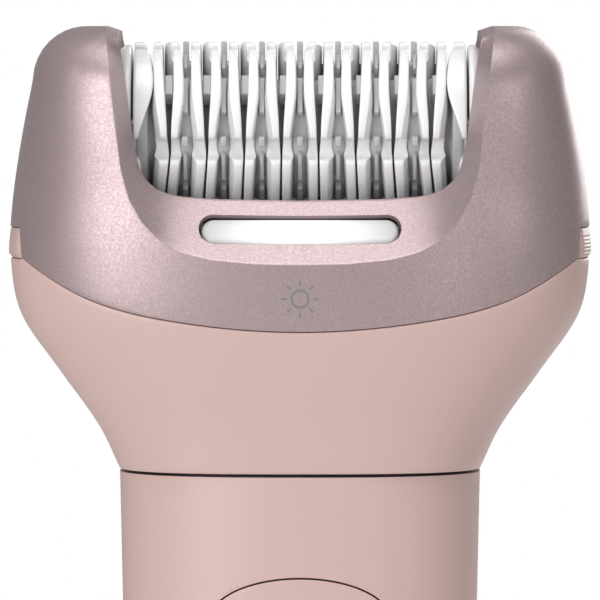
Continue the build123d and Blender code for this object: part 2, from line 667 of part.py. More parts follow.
def chassis_piece():
    deck_top = BARREL_Z - BARREL_R - DECK_GAP
    deck_low = deck_top - DECK_THICKNESS
    chassis = block((-ARM_X, ARM_X), (-ARM_HALF_DEPTH, ARM_HALF_DEPTH), (deck_low, deck_top))
    plate_half = FOOT_X + ARM_THICKNESS
    chassis += block(
        (-plate_half, plate_half),
        (-ARM_HALF_DEPTH, ARM_HALF_DEPTH),
        (BASE_PLATE_Z, BASE_PLATE_Z + BASE_PLATE),
    )
    for side in (-1, 1):
        limits = sorted((side * ARM_X, side * (ARM_X + ARM_THICKNESS)))
        arm = block(limits, (-ARM_HALF_DEPTH, ARM_HALF_DEPTH), (SHOULDER_Z, BARREL_Z))
        arm += rod("X", ARM_HALF_DEPTH, *limits, (0, BARREL_Z))
        shoulder = sorted((side * FOOT_X, side * (ARM_X + ARM_THICKNESS)))
        shoulder_z = (SHOULDER_Z, SHOULDER_Z + BASE_PLATE)
        arm += block(shoulder, (-ARM_HALF_DEPTH, ARM_HALF_DEPTH), shoulder_z)
        foot = sorted((side * FOOT_X, side * (FOOT_X + ARM_THICKNESS)))
        foot_z = (BASE_PLATE_Z, SHOULDER_Z + BASE_PLATE)
        arm += block(foot, (-ARM_HALF_DEPTH, ARM_HALF_DEPTH), foot_z)
        chassis += arm
        for y_side in (-1, 1):
            depth = sorted((y_side * (GEARBOX_HALF_DEPTH - GEARBOX_WALL), y_side * GEARBOX_HALF_DEPTH))
            box = sorted((side * (ARM_X + ARM_THICKNESS), side * GEARBOX_X))
            chassis += block(box, depth, GEARBOX_Z)
        end = sorted((side * (GEARBOX_X - GEARBOX_WALL), side * GEARBOX_X))
        chassis += block(end, (-GEARBOX_HALF_DEPTH, GEARBOX_HALF_DEPTH), GEARBOX_Z)
    for z in (BARREL_Z, CROSS_Z):
        chassis -= rod("X", BUSH_R, -40, 40, (0, z))
    chassis -= rod("Z", DRIVE_HOLE_R, BASE_PLATE_Z - 1, BASE_PLATE_Z + BASE_PLATE + 1)
    for x in (-HEAD_SCREW_X, HEAD_SCREW_X):
        chassis -= rod("Z", HEAD_SCREW_R, BASE_PLATE_Z - 1, BASE_PLATE_Z + BASE_PLATE + 1, (x, 0))
    save("head_chassis", chassis)

    bushes = []
    for z in (BARREL_Z, CROSS_Z):
        for side in (-1, 1):
            limits = sorted((side * ARM_X, side * (ARM_X + ARM_THICKNESS)))
            bushes.append(
                rod("X", BUSH_R, *limits, (0, z)) - rod("X", AXLE_R + RUNNING_GAP, -40, 40, (0, z))
            )
    save("shaft_bushes", Compound(children=bushes))
    pin_start = ARM_X + ARM_THICKNESS
    pin = rod("X", IDLER_PIN_R, pin_start, GEAR_X + GEAR_FACE + 0.3, (0, IDLER_Z))
    save("idler_pin", pin)


def base_piece():
    top = BASE_PLATE_Z
    plate = between(form(HEAD_STATIONS, HEAD_SQUARENESS, HEAD_WALL + 0.05), HEAD_BOTTOM + 0.3, top)
    spigot = rod("Z", SPIGOT_R, HEAD_BOTTOM - SPIGOT_LENGTH, HEAD_BOTTOM + 0.4)
    spigot -= rod("Z", SPIGOT_BORE_R, HEAD_BOTTOM - SPIGOT_LENGTH - 1, HEAD_BOTTOM + 0.3)
    base = plate + spigot
    base -= rod("Z", BUSH_R, 0, CAP_TOP)
    screws = []
    for x in (-HEAD_SCREW_X, HEAD_SCREW_X):
        base -= rod("Z", HEAD_SCREW_R, HEAD_BOTTOM + 1.0, top + 1, (x, 0))
        shank = rod("Z", HEAD_SCREW_R, HEAD_BOTTOM + 1.0, top + BASE_PLATE, (x, 0))
        head_r, head_height = HEAD_SCREW_HEAD
        seat = top + BASE_PLATE
        screws.append(shank + rod("Z", head_r, seat, seat + head_height, (x, 0)))
    save("head_screws", Compound(children=screws))
    save("head_base", base)
    bush = rod("Z", BUSH_R, HEAD_BOTTOM + 0.3, top)
    save("drive_bush", bush - rod("Z", AXLE_R + RUNNING_GAP, 0, CAP_TOP))


def light_board_piece():
    z_low, z_high = LIGHT_BOARD_Z
    y_back = LIGHT_BOARD_Y + LIGHT_BOARD_THICKNESS
    board = block((-LIGHT_BOARD_HALF, LIGHT_BOARD_HALF), (LIGHT_BOARD_Y, y_back), LIGHT_BOARD_Z)
    bracket_half, bracket_height = LIGHT_BRACKET
    bracket_z = (z_low, z_low + bracket_height)
    board += block((-bracket_half, bracket_half), (y_back, -ARM_HALF_DEPTH), bracket_z)
    solids = [board]
    led_width, led_depth, led_height = LED_SIZE
    for x in (-LED_X, LED_X):
        x_limits = (x - led_width / 2, x + led_width / 2)
        y_limits = (LIGHT_BOARD_Y - led_depth, LIGHT_BOARD_Y)
        solids.append(block(x_limits, y_limits, (z_high - led_height, z_high)))
    save("light_board", Compound(children=solids))


# ---------------------------------------------------------------- moving train
def drive_pieces():
    shaft_low = HEX_Z[0] - 0.2 + SOCKET_DEPTH
    shaft_top = MESH_Z + 1.2
    save("drive_shaft", rod("Z", AXLE_R, shaft_low, shaft_top + 0.5))
    socket_low = HEX_Z[0] - 0.2
    socket = rod("Z", SOCKET_R, socket_low, socket_low + SOCKET_LENGTH)
    hexagon = RegularPolygon(HEX_FLATS / 2 + HEX_GAP, 6, major_radius=False)
    socket -= extrude(Plane.XY.offset(socket_low) * hexagon, amount=SOCKET_DEPTH)
    save("coupling_socket", socket - rod("Z", AXLE_R, shaft_low, CAP_TOP))
    gap_angle = 360 / PINION_TEETH / 2
    pinion = extrude(
        Plane.XY.offset(MESH_Z - 1.2) * gear_outline(PINION_TEETH, gap_angle, CROWN_PLAY / 2),
        amount=2.4,
    )
    save("drive_pinion", pinion - rod("Z", AXLE_R, 0, CAP_TOP))


def crown_gear():
    """Face gear whose teeth point to -X and meet the upright pinion at its lowest point."""
    root_x = PINION_R + DEDENDUM
    tip_x = PINION_R - ADDENDUM
    plate_r = CROWN_R + CROWN_TOOTH_LENGTH / 2
    gear = rod("X", plate_r, root_x, root_x + CROWN_PLATE, (0, CROSS_Z))
    gear += rod("X", 3.0, root_x + CROWN_PLATE, root_x + CROWN_PLATE + 3, (0, CROSS_Z))
    half_pitch = (pi * GEAR_MODULE / 2 - CROWN_PLAY / 2) / 2
    slope = tan(radians(PRESSURE_ANGLE))
    half_tip = half_pitch - ADDENDUM * slope
    half_root = half_pitch + DEDENDUM * slope
    profile = make_face(
        Polyline(
            (root_x + 0.1, -half_root), (tip_x, -half_tip), (tip_x, half_tip), (root_x + 0.1, half_root),
            close=True,
        )
    )
    low = CROSS_Z - CROWN_R - CROWN_TOOTH_LENGTH / 2
    tooth = extrude(Plane.XY.offset(low) * profile, amount=CROWN_TOOTH_LENGTH)
    axis = Axis((0, 0, CROSS_Z), (1, 0, 0))
    for index in range(CROWN_TEETH):
        gear += tooth.rotate(axis, 360 * index / CROWN_TEETH)
    return gear - rod("X", AXLE_R, -5, 40, (0, CROSS_Z))


def train_pieces():
    end = GEAR_X + GEAR_FACE + 0.4
    save("cross_shaft", rod("X", AXLE_R, -ARM_X - ARM_THICKNESS - 0.4, end, (0, CROSS_Z)))
    save("crown_gear", crown_gear())
    save("cross_gear", spur_gear_x(CROSS_TEETH, CROSS_Z, 90, AXLE_R))
    idler_tooth = 90 + 180 / IDLER_TEETH
    save("idler_gear", spur_gear_x(IDLER_TEETH, IDLER_Z, idler_tooth, 1.2 + RUNNING_GAP))
    save("barrel_gear", spur_gear_x(BARREL_TEETH, BARREL_Z, -90, AXLE_R))
    save("barrel_axle", rod("X", AXLE_R, -ARM_X - ARM_THICKNESS - 0.4, end, (0, BARREL_Z)))


# ---------------------------------------------------------------- tweezer barrel
def petal_notches(x_limits):
    """Four slots that part a disc into petals."""
    notches = None
    for petal in range(PETAL_COUNT):
        angle = NOTCH_ANGLE + 360 * petal / PETAL_COUNT
        slot = block(x_limits, (-BARREL_R - 1, -NOTCH_FLOOR_R), (-NOTCH_WIDTH / 2, NOTCH_WIDTH / 2))
        slot = slot.rotate(Axis.X, -angle)
        notches = slot if notches is None else notches + slot
    return Pos(0, 0, BARREL_Z) * notches


def tweezer_disc(middle_x, side):
    """One bent disc of a pair, its edge seen as a shallow V from the front."""
    inner = [(middle_x + side * gap, BARREL_Z + height) for height, gap in DISC_BEND]
    outer = [(x + side * DISC_THICKNESS, z) for x, z in reversed(inner)]
    strip = Plane.XZ * make_face(Polyline(*(inner + outer), close=True))
    disc = extrude(strip, amount=BARREL_R + 1, both=True)
    disc &= rod("X", BARREL_R, middle_x - 5, middle_x + 5, (0, BARREL_Z))
    disc -= rod("X", HUB_R, middle_x - 6, middle_x + 6, (0, BARREL_Z))
    return disc - petal_notches((middle_x - 6, middle_x + 6))


def barrel_pieces():
    for pair in range(PAIR_COUNT):
        middle = (pair - (PAIR_COUNT - 1) / 2) * PAIR_PITCH
        discs = [tweezer_disc(middle, side) for side in (-1, 1)]
        save(f"tweezer_pair_{pair + 1}", Compound(children=discs))
    hub = rod("X", HUB_R, -END_DISC_X, END_DISC_X, (0, BARREL_Z))
    save("barrel_hub", hub - rod("X", AXLE_R, -40, 40, (0, BARREL_Z)))
    for side, name in ((-1, "left"), (1, "right")):
        petal_limits = sorted((side * END_PETAL_X, side * END_DISC_X))
        petals = rod("X", BARREL_R - 0.1, *petal_limits, (0, BARREL_Z))
        petals -= rod("X", HUB_R, -40, 40, (0, BARREL_Z))
        petals -= petal_notches((-40, 40))
        cover = rod("X", BARREL_R - 0.3, *sorted((side * END_DISC_X, side * BARREL_END_X)), (0, BARREL_Z))
        outer_edges = cover.edges().group_by(Axis.X)[0 if side < 0 else -1]
        cover = fillet(outer_edges, END_DOME)
        cover -= rod("X", AXLE_R, -40, 40, (0, BARREL_Z))
        save(f"end_disc_{name}", petals + cover)


def main():
    os.makedirs("parts", exist_ok=True)
    handle_pieces()
    button_pieces()
    screws = motor_pieces()
    save("motor_screws", Compound(children=screws))
    power_pieces()
    cap_piece()
    housing_piece()
    tab_pieces()
    chassis_piece()
    base_piece()
    light_board_piece()
    drive_pieces()
    train_pieces()
    barrel_pieces()


main()
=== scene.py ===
"""Cordless epilator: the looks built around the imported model, in metres, standing on its base."""

import json
import logging
import math
from dataclasses import dataclass, field
from enum import Enum
from functools import partial
from typing import Callable, Iterable, Optional, Sequence, Union

import bmesh
import bpy
from mathutils import Matrix, Vector


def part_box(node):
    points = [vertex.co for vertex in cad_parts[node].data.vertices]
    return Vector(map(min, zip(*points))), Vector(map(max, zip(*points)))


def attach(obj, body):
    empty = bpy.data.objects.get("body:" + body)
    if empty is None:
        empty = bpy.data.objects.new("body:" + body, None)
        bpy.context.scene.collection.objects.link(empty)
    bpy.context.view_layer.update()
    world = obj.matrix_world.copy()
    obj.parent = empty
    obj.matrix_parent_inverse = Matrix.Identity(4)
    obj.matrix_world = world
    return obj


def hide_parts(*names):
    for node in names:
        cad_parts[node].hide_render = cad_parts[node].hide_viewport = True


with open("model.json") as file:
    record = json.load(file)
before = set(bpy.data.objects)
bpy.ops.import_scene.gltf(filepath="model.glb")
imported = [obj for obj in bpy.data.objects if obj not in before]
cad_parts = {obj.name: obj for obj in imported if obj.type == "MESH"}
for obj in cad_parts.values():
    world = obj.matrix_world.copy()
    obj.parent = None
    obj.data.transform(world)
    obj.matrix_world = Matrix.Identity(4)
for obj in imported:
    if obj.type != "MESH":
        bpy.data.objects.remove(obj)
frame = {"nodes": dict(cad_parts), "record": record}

MM = 0.001
ROUND = 96
Point = tuple[float, float, float]
Loop = list[Point]
Table = tuple[tuple[float, ...], ...]
Pair = tuple[float, float]
Shape = bmesh.types.BMesh
Vertex = bmesh.types.BMVert

log = logging.getLogger("epilator")


# ------------------------------------------------------------------ finishes
class Socket:
    """A node's output, with the arithmetic that adds Math nodes."""

    def __init__(self, graph: "Graph", link: bpy.types.NodeSocket) -> None:
        """Keeps the graph and the output that it stands for."""
        self.graph = graph
        self.link = link

    def _math(self, operation: str, first: object, second: object) -> "Socket":
        """One Math node on two values."""
        return self.graph.node("ShaderNodeMath", {"operation": operation}, {0: first, 1: second})

    def __add__(self, other: object) -> "Socket":
        """Sum."""
        return self._math("ADD", self, other)

    def __mul__(self, other: object) -> "Socket":
        """Product."""
        return self._math("MULTIPLY", self, other)


class Graph:
    """A material's node tree."""

    def __init__(self, name: str) -> None:
        """Starts a material that holds only its output.

        Args:
            name: the material's name.
        """
        self.material = bpy.data.materials.new(name)
        self.material.use_nodes = True
        self.tree = self.material.node_tree
        self.tree.nodes.clear()
        self.output = self.tree.nodes.new("ShaderNodeOutputMaterial")

    def node(
        self,
        kind: str,
        settings: Optional[dict[str, object]] = None,
        inputs: Optional[dict[Union[int, str], object]] = None,
        out: Union[int, str] = 0,
    ) -> Socket:
        """Adds a node.

        Args:
            kind: the node's type.
            settings: attributes, set first.
            inputs: values or links of its sockets.
            out: the output wanted.

        Returns:
            That output.
        """
        made = self.tree.nodes.new(kind)
        for key, value in (settings or {}).items():
            setattr(made, key, value)
        for key, value in (inputs or {}).items():
            if isinstance(value, Socket):
                self.tree.links.new(value.link, made.inputs[key])
            else:
                made.inputs[key].default_value = value
        return Socket(self, made.outputs[out])

    def coordinates(self, scale: Sequence[float] = (1.0, 1.0, 1.0)) -> Socket:
        """Object coordinates, stretched by scale."""
        place = self.node("ShaderNodeTexCoord", out="Object")
        return self.node("ShaderNodeMapping", {}, {"Vector": place, "Scale": tuple(scale)})

    def noise(self, size: float, detail: float = 2.0, stretch: Sequence[float] = (1, 1, 1)) -> Socket:
        """Noise with grains of about the given size in metres, 0 to 1."""
        scale = [s / size for s in stretch]
        settings = {"Vector": self.coordinates(scale), "Scale": 1.0, "Detail": detail}
        return self.node("ShaderNodeTexNoise", {}, settings, "Fac")

    def ramp(self, value: Socket, low: float, high: float, to_low: float, to_high: float) -> Socket:
        """Maps value from low..high to to_low..to_high, held inside those limits."""
        inputs = {0: value, 1: low, 2: high, 3: to_low, 4: to_high}
        return self.node("ShaderNodeMapRange", {"clamp": True}, inputs)

    def mix(self, factor: Socket, first: Sequence[float], second: Sequence[float]) -> Socket:
        """Mixes two linear colours."""
        inputs = {0: factor, 6: (*first, 1.0), 7: (*second, 1.0)}
        return self.node("ShaderNodeMix", {"data_type": "RGBA"}, inputs, 2)

    def bump(self, height: Socket, depth: float) -> Socket:
        """Bump whose full height is depth metres."""
        return self.node("ShaderNodeBump", {}, {"Height": height, "Strength": 1.0, "Distance": depth})

    def surface(self, inputs: dict[Union[int, str], object]) -> bpy.types.Material:
        """Ends the graph with a Principled shader.

        Args:
            inputs: values or links of the shader's sockets.

        Returns:
            The finished material.
        """
        shader = self.node("ShaderNodeBsdfPrincipled", {}, inputs)
        self.tree.links.new(shader.link, self.output.inputs["Surface"])
        return self.material


class Grain(Enum):
    """What breaks up a finish."""

    MOULDED = "moulded"
    FLAKE = "flake"
    BRUSHED = "brushed"


def shade(colour: Sequence[float], by: float) -> tuple[float, ...]:
    """A colour made lighter or darker by a factor."""
    return tuple(min(1.0, c * by) for c in colour)


@dataclass(frozen=True)
class Finish:
    """A surface finish in linear colour."""

    name: str
    colour: tuple[float, float, float]
    roughness: float = 0.4
    metallic: float = 0.0
    coat: float = 0.0
    coat_roughness: float = 0.2
    grain: Grain = Grain.MOULDED
    grain_size: float = 0.0004
    contrast: float = 0.03
    depth: float = 0.000004
    specular: float = 0.5
    subsurface: float = 0.0

    def material(self) -> bpy.types.Material:
        """Builds the finish as a procedural material."""
        graph = Graph(self.name)
        stretch = (1.0, 1.0, 0.06) if self.grain is Grain.BRUSHED else (1.0, 1.0, 1.0)
        fine = graph.noise(self.grain_size, 1.0, stretch)
        wide = graph.noise(0.02, 1.0)
        inputs: dict[Union[int, str], object] = {
            "Metallic": self.metallic,
            "Coat Weight": self.coat,
            "Coat Roughness": self.coat_roughness,
            "Specular IOR Level": self.specular,
            "Subsurface Weight": self.subsurface,
            "Subsurface Scale": 0.001,
        }
        if self.grain is Grain.FLAKE:
            mask = graph.ramp(fine, 0.38, 0.68, 0.0, 1.0)
            inputs["Roughness"] = graph.ramp(fine, 0.3, 0.7, self.roughness * 1.12, self.roughness * 0.88)
        else:
            mask = graph.ramp(fine * 0.5 + wide * 0.5, 0.3, 0.7, 0.0, 1.0)
            inputs["Roughness"] = graph.ramp(wide, 0.3, 0.7, self.roughness * 0.95, self.roughness * 1.05)
        low, high = shade(self.colour, 1.0 - self.contrast), shade(self.colour, 1.0 + self.contrast)
        inputs["Base Color"] = graph.mix(mask, low, high)
        inputs["Normal"] = graph.bump(fine, self.depth)
        return graph.surface(inputs)


@dataclass(frozen=True)
class Lens:
    """Opal lens, lit from behind and brightest in its middle."""

    name: str = "lens_opal"
    half_length: float = 0.011
    colour: tuple[float, float, float] = (0.86, 0.86, 0.86)

    def material(self) -> bpy.types.Material:
        """Builds the lens material."""
        graph = Graph(self.name)
        place = graph.node("ShaderNodeTexCoord", out="Object")
        x = graph.node("ShaderNodeSeparateXYZ", {}, {0: place}, "X")
        distance = graph.node("ShaderNodeMath", {"operation": "ABSOLUTE"}, {0: x})
        glow = graph.ramp(distance, 0.25 * self.half_length, self.half_length, 1.0, 0.0)
        return graph.surface(
            {
                "Base Color": graph.mix(glow, shade(self.colour, 0.56), self.colour),
                "Roughness": 0.25,
                "Subsurface Weight": 0.3,
                "Subsurface Scale": 0.002,
                "Emission Color": graph.mix(glow, (0.0, 0.0, 0.0), (0.26, 0.26, 0.27)),
                "Emission Strength": 1.0,
            }
        )


PINK = (0.645, 0.452, 0.420)
FINISHES: dict[str, Union[Finish, Lens]] = {
    "cap_mauve": Finish(
        "cap_mauve", (0.46, 0.355, 0.362), 0.42, 0.66, 0.10, 0.30, Grain.FLAKE, 0.00022, 0.09, 0.000003
    ),
    "housing_pink": Finish("housing_pink", PINK, 0.42, coat=0.15, coat_roughness=0.35, contrast=0.01),
    "handle_pink": Finish("handle_pink", PINK, 0.42, coat=0.15, coat_roughness=0.35, contrast=0.01),
    "tab_pink": Finish("tab_pink", (0.60, 0.43, 0.40), 0.40, contrast=0.01),
    "button_pink": Finish("button_pink", shade(PINK, 0.97), 0.34, coat=0.3, contrast=0.01),
    "lens_opal": Lens(),
    "disc_ceramic": Finish(
        "disc_ceramic", (0.90, 0.90, 0.90), 0.28, coat=0.4, contrast=0.01, subsurface=0.1
    ),
    "hub_grey": Finish("hub_grey", (0.50, 0.50, 0.51), 0.38, contrast=0.04),
    "seal_black": Finish("seal_black", (0.012, 0.011, 0.012), 0.6, contrast=0.1),
    "dark_plastic": Finish("dark_plastic", (0.03, 0.03, 0.032), 0.5, contrast=0.06),
    "chassis_grey": Finish("chassis_grey", (0.30, 0.30, 0.31), 0.5, contrast=0.04),
    "gear_white": Finish("gear_white", (0.74, 0.74, 0.70), 0.4, contrast=0.02),
    "steel": Finish("steel", (0.60, 0.60, 0.62), 0.28, 1.0, grain=Grain.BRUSHED, contrast=0.08),
    "motor_steel": Finish("motor_steel", (0.55, 0.55, 0.57), 0.34, 1.0, grain=Grain.BRUSHED, contrast=0.08),
    "spring_steel": Finish("spring_steel", (0.50, 0.50, 0.52), 0.26, 1.0, contrast=0.05),
    "bronze": Finish("bronze", (0.55, 0.37, 0.18), 0.42, 1.0, grain_size=0.0002, contrast=0.12),
    "magnet_grey": Finish("magnet_grey", (0.07, 0.07, 0.075), 0.6, contrast=0.12),
    "battery_wrap": Finish("battery_wrap", (0.10, 0.20, 0.32), 0.32, coat=0.4, contrast=0.03),
    "board_green": Finish("board_green", (0.015, 0.11, 0.045), 0.35, coat=0.5, contrast=0.10),
    "symbol_grey": Finish("symbol_grey", (0.21, 0.225, 0.22), 0.5, contrast=0.02),
}
MADE: dict[str, bpy.types.Material] = {}


def finish(name: str) -> bpy.types.Material:
    """The material of a named finish, made once."""
    if name not in MADE:
        MADE[name] = FINISHES[name].material()
    return MADE[name]


def dress_nodes() -> None:
    """Gives every carried-over node the finish of its own material slot."""
    for name, node in frame["nodes"].items():
        for place in node.material_slots:
            slot = place.material.name.split(".")[0] if place.material else ""
            place.material = finish(slot if slot in FINISHES else "dark_plastic")
        log.info("dressed %s", name)


# ------------------------------------------------------------------ shaping
def curve_at(points: Sequence[Sequence[float]], at: float) -> list[float]:
    """Smooth curve through rows whose first value is the parameter.

    Args:
        points: rows in rising order of their first value.
        at: the parameter.

    Returns:
        The other values there.
    """
    index = 0
    while index < len(points) - 2 and at > points[index + 1][0]:
        index += 1
    low, high = points[index], points[index + 1]
    before, after = points[max(index - 1, 0)], points[min(index + 2, len(points) - 1)]
    span = high[0] - low[0]
    t = (at - low[0]) / span
    values = []
    for k in range(1, len(low)):
        leave = (high[k] - before[k]) / (high[0] - before[0]) * span
        arrive = (after[k] - low[k]) / (after[0] - low[0]) * span
        hold = (2 * t**3 - 3 * t**2 + 1) * low[k] + (3 * t**2 - 2 * t**3) * high[k]
        values.append(hold + (t**3 - 2 * t**2 + t) * leave + (t**3 - t**2) * arrive)
    return values


def spread(path: Sequence[Sequence[float]], count: int) -> list[tuple[float, ...]]:
    """Points at equal steps along a path, without its last point."""
    gaps = [math.dist(a, b) for a, b in zip(path, path[1:])]
    total = sum(gaps)
    found = []
    for step in range(count):
        left = total * step / count
        index = 0
        while left > gaps[index]:
            left -= gaps[index]
            index += 1
        t = left / gaps[index]
        found.append(tuple(a + (b - a) * t for a, b in zip(path[index], path[index + 1])))
    return found


def ease(t: float) -> float:
    """Smooth step from 0 to 1, held outside."""
    t = min(1.0, max(0.0, t))
    return t * t * (3 - 2 * t)


def blend_points(first: Point, second: Point, t: float) -> Point:
    """The point a share t of the way from first to second."""
    return tuple(a + (b - a) * t for a, b in zip(first, second))


def four_fold(quarter: Sequence[Point]) -> Loop:
    """A closed loop from its front right quarter, which runs from the front's middle to the side.

    Args:
        quarter: points from x = 0 to y = 0, both ends included.

    Returns:
        The loop, front to right to back to left.
    """
    there, back = list(quarter[:-1]), list(quarter[:0:-1])
    loop = there + [(x, -y, z) for x, y, z in back]
    loop += [(-x, -y, z) for x, y, z in there]
    return loop + [(-x, y, z) for x, y, z in back]


def set_ends(quarters: Sequence[list[Point]]) -> None:
    """Puts each quarter's first point at x = 0 and its last at y = 0."""
    for quarter in quarters:
        quarter[0] = (0.0, quarter[0][1], quarter[0][2])
        quarter[-1] = (quarter[-1][0], 0.0, quarter[-1][2])


def skin(shape: Shape, loops: Sequence[Loop]) -> list[list[Vertex]]:
    """Runs a quad skin through closed loops that have the same number of points.

    Args:
        shape: the bmesh to add to.
        loops: the loops in order.

    Returns:
        The vertices, row by row.
    """
    rows = [list(bmesh.ops.create_circle(shape, segments=len(loops[0]), radius=1.0)["verts"])]
    for vert, place in zip(rows[0], loops[0]):
        vert.co = place
    for loop in loops[1:]:
        last = rows[-1]
        edges = [shape.edges.get((a, b)) for a, b in zip(last, last[1:] + last[:1])]
        made = bmesh.ops.extrude_edge_only(shape, edges=edges)["geom"]
        fresh = {item for item in made if isinstance(item, Vertex)}
        row = [next(e.other_vert(v) for e in v.link_edges if e.other_vert(v) in fresh) for v in last]
        for vert, place in zip(row, loop):
            vert.co = place
        rows.append(row)
    return rows


def close_end(shape: Shape, row: Sequence[Vertex]) -> None:
    """Fills the opening at a row."""
    row = list(row)
    edges = [shape.edges.get((a, b)) for a, b in zip(row, row[1:] + row[:1])]
    bmesh.ops.edgeloop_fill(shape, edges=edges)


def face_outwards(shape: Shape, centre: Point) -> None:
    """Turns an open sheet's faces away from a point inside it."""
    shape.normal_update()
    inside = Vector(centre)
    lean = sum(f.normal.dot(f.calc_center_median() - inside) * f.calc_area() for f in shape.faces)
    if lean < 0:
        bmesh.ops.reverse_faces(shape, faces=shape.faces)


@dataclass
class Piece:
    """How a shape in millimetres becomes a finished piece; one with a wall starts as an open sheet."""

    name: str
    body: str
    slot: str
    nodes: tuple[str, ...] = ()
    wall: float = 0.0
    bevel: float = 0.0
    levels: int = 0
    sharp: float = 38.0

    def make(self, shape: Shape, cuts: Iterable[tuple[Shape, str]] = ()) -> bpy.types.Object:
        """Finishes the piece.

        Args:
            shape: its bmesh in millimetres, which is freed; a deform layer thins its wall.
            cuts: (bmesh in millimetres, Boolean operation) in order.

        Returns:
            The piece, riding on its body.
        """
        bmesh.ops.remove_doubles(shape, verts=shape.verts, dist=0.0005)
        if not self.wall:
            bmesh.ops.recalc_face_normals(shape, faces=shape.faces)
        bmesh.ops.scale(shape, vec=(MM, MM, MM), verts=shape.verts)
        thinned = shape.verts.layers.deform.active is not None
        piece = link_mesh(shape, self.name)
        if self.levels:
            smooth = piece.modifiers.new("smooth", "SUBSURF")
            smooth.levels = smooth.render_levels = self.levels
        if self.wall:
            self._thicken(piece, thinned)
        tools = [self._cut(piece, tool_shape, operation) for tool_shape, operation in cuts]
        for polygon in piece.data.polygons:
            polygon.use_smooth = True
        if self.bevel:
            self._soften(piece)
        if piece.modifiers:
            ready = piece.evaluated_get(bpy.context.evaluated_depsgraph_get())
            mesh = bpy.data.meshes.new_from_object(ready)
            piece.modifiers.clear()
            piece.data = mesh
        for tool in tools:
            bpy.data.objects.remove(tool)
        if not self.bevel:
            piece.data.set_sharp_from_angle(angle=math.radians(self.sharp))
        piece.data.materials.clear()
        piece.data.materials.append(finish(self.slot))
        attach(piece, self.body)
        self.slot in {m["slot"] for m in frame["record"]["materials"]}
        if self.nodes:
            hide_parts(*self.nodes)
        log.info("made %s, %d faces", self.name, len(piece.data.polygons))
        return piece

    def _thicken(self, piece: bpy.types.Object, thinned: bool) -> None:
        """Gives an open sheet its wall, inwards, scaled by its vertex group if it has one."""
        thick = piece.modifiers.new("wall", "SOLIDIFY")
        thick.thickness = self.wall * MM
        thick.offset = -1.0
        thick.use_even_offset = False
        if thinned:
            thick.vertex_group = piece.vertex_groups.new(name="wall").name

    def _cut(self, piece: bpy.types.Object, shape: Shape, operation: str) -> bpy.types.Object:
        """Adds a Boolean with a shape in millimetres and returns the tool it uses."""
        bmesh.ops.recalc_face_normals(shape, faces=shape.faces)
        bmesh.ops.scale(shape, vec=(MM, MM, MM), verts=shape.verts)
        tool = link_mesh(shape, "tool")
        cut = piece.modifiers.new("cut", "BOOLEAN")
        cut.operation = operation
        cut.solver = "EXACT"
        cut.object = tool
        return tool

    def _soften(self, piece: bpy.types.Object) -> None:
        """Rounds the edges and evens the shading of the faces beside them."""
        edge = piece.modifiers.new("edge", "BEVEL")
        edge.width = self.bevel * MM
        edge.segments = 2
        edge.limit_method = "ANGLE"
        edge.angle_limit = math.radians(40)
        edge.use_clamp_overlap = True
        even = piece.modifiers.new("normals", "WEIGHTED_NORMAL")
        even.keep_sharp = True
        even.weight = 80


def stadium(half_length: float, half_height: float, segments: int) -> list[Point]:
    """Outline of a stadium in the XY plane, drawn from a circle pulled apart."""
    shape = bmesh.new()
    pull = half_length - half_height
    points = []
    for vert in bmesh.ops.create_circle(shape, segments=segments, radius=half_height)["verts"]:
        x, y, z = vert.co
        points.append((x + (pull if x > 0 else -pull), y, z))
    shape.free()
    return points


def ring(shape: Shape, loops: Sequence[Loop]) -> None:
    """Closes a skin through loops into a ring, its last loop joined to its first."""
    skin(shape, [*loops, loops[0]])


def capped(loops: Sequence[Loop]) -> Shape:
    """A closed solid: a skin through loops with both of its ends filled."""
    shape = bmesh.new()
    rows = skin(shape, loops)
    close_end(shape, rows[0])
    close_end(shape, rows[-1])
    return shape


def turned(x: float, radius: float, axis_z: float) -> Loop:
    """Circle round an axis along X at a height, starting at the front."""
    angles = [2 * math.pi * k / ROUND for k in range(ROUND)]
    return [(x, -radius * math.cos(a), axis_z + radius * math.sin(a)) for a in angles]


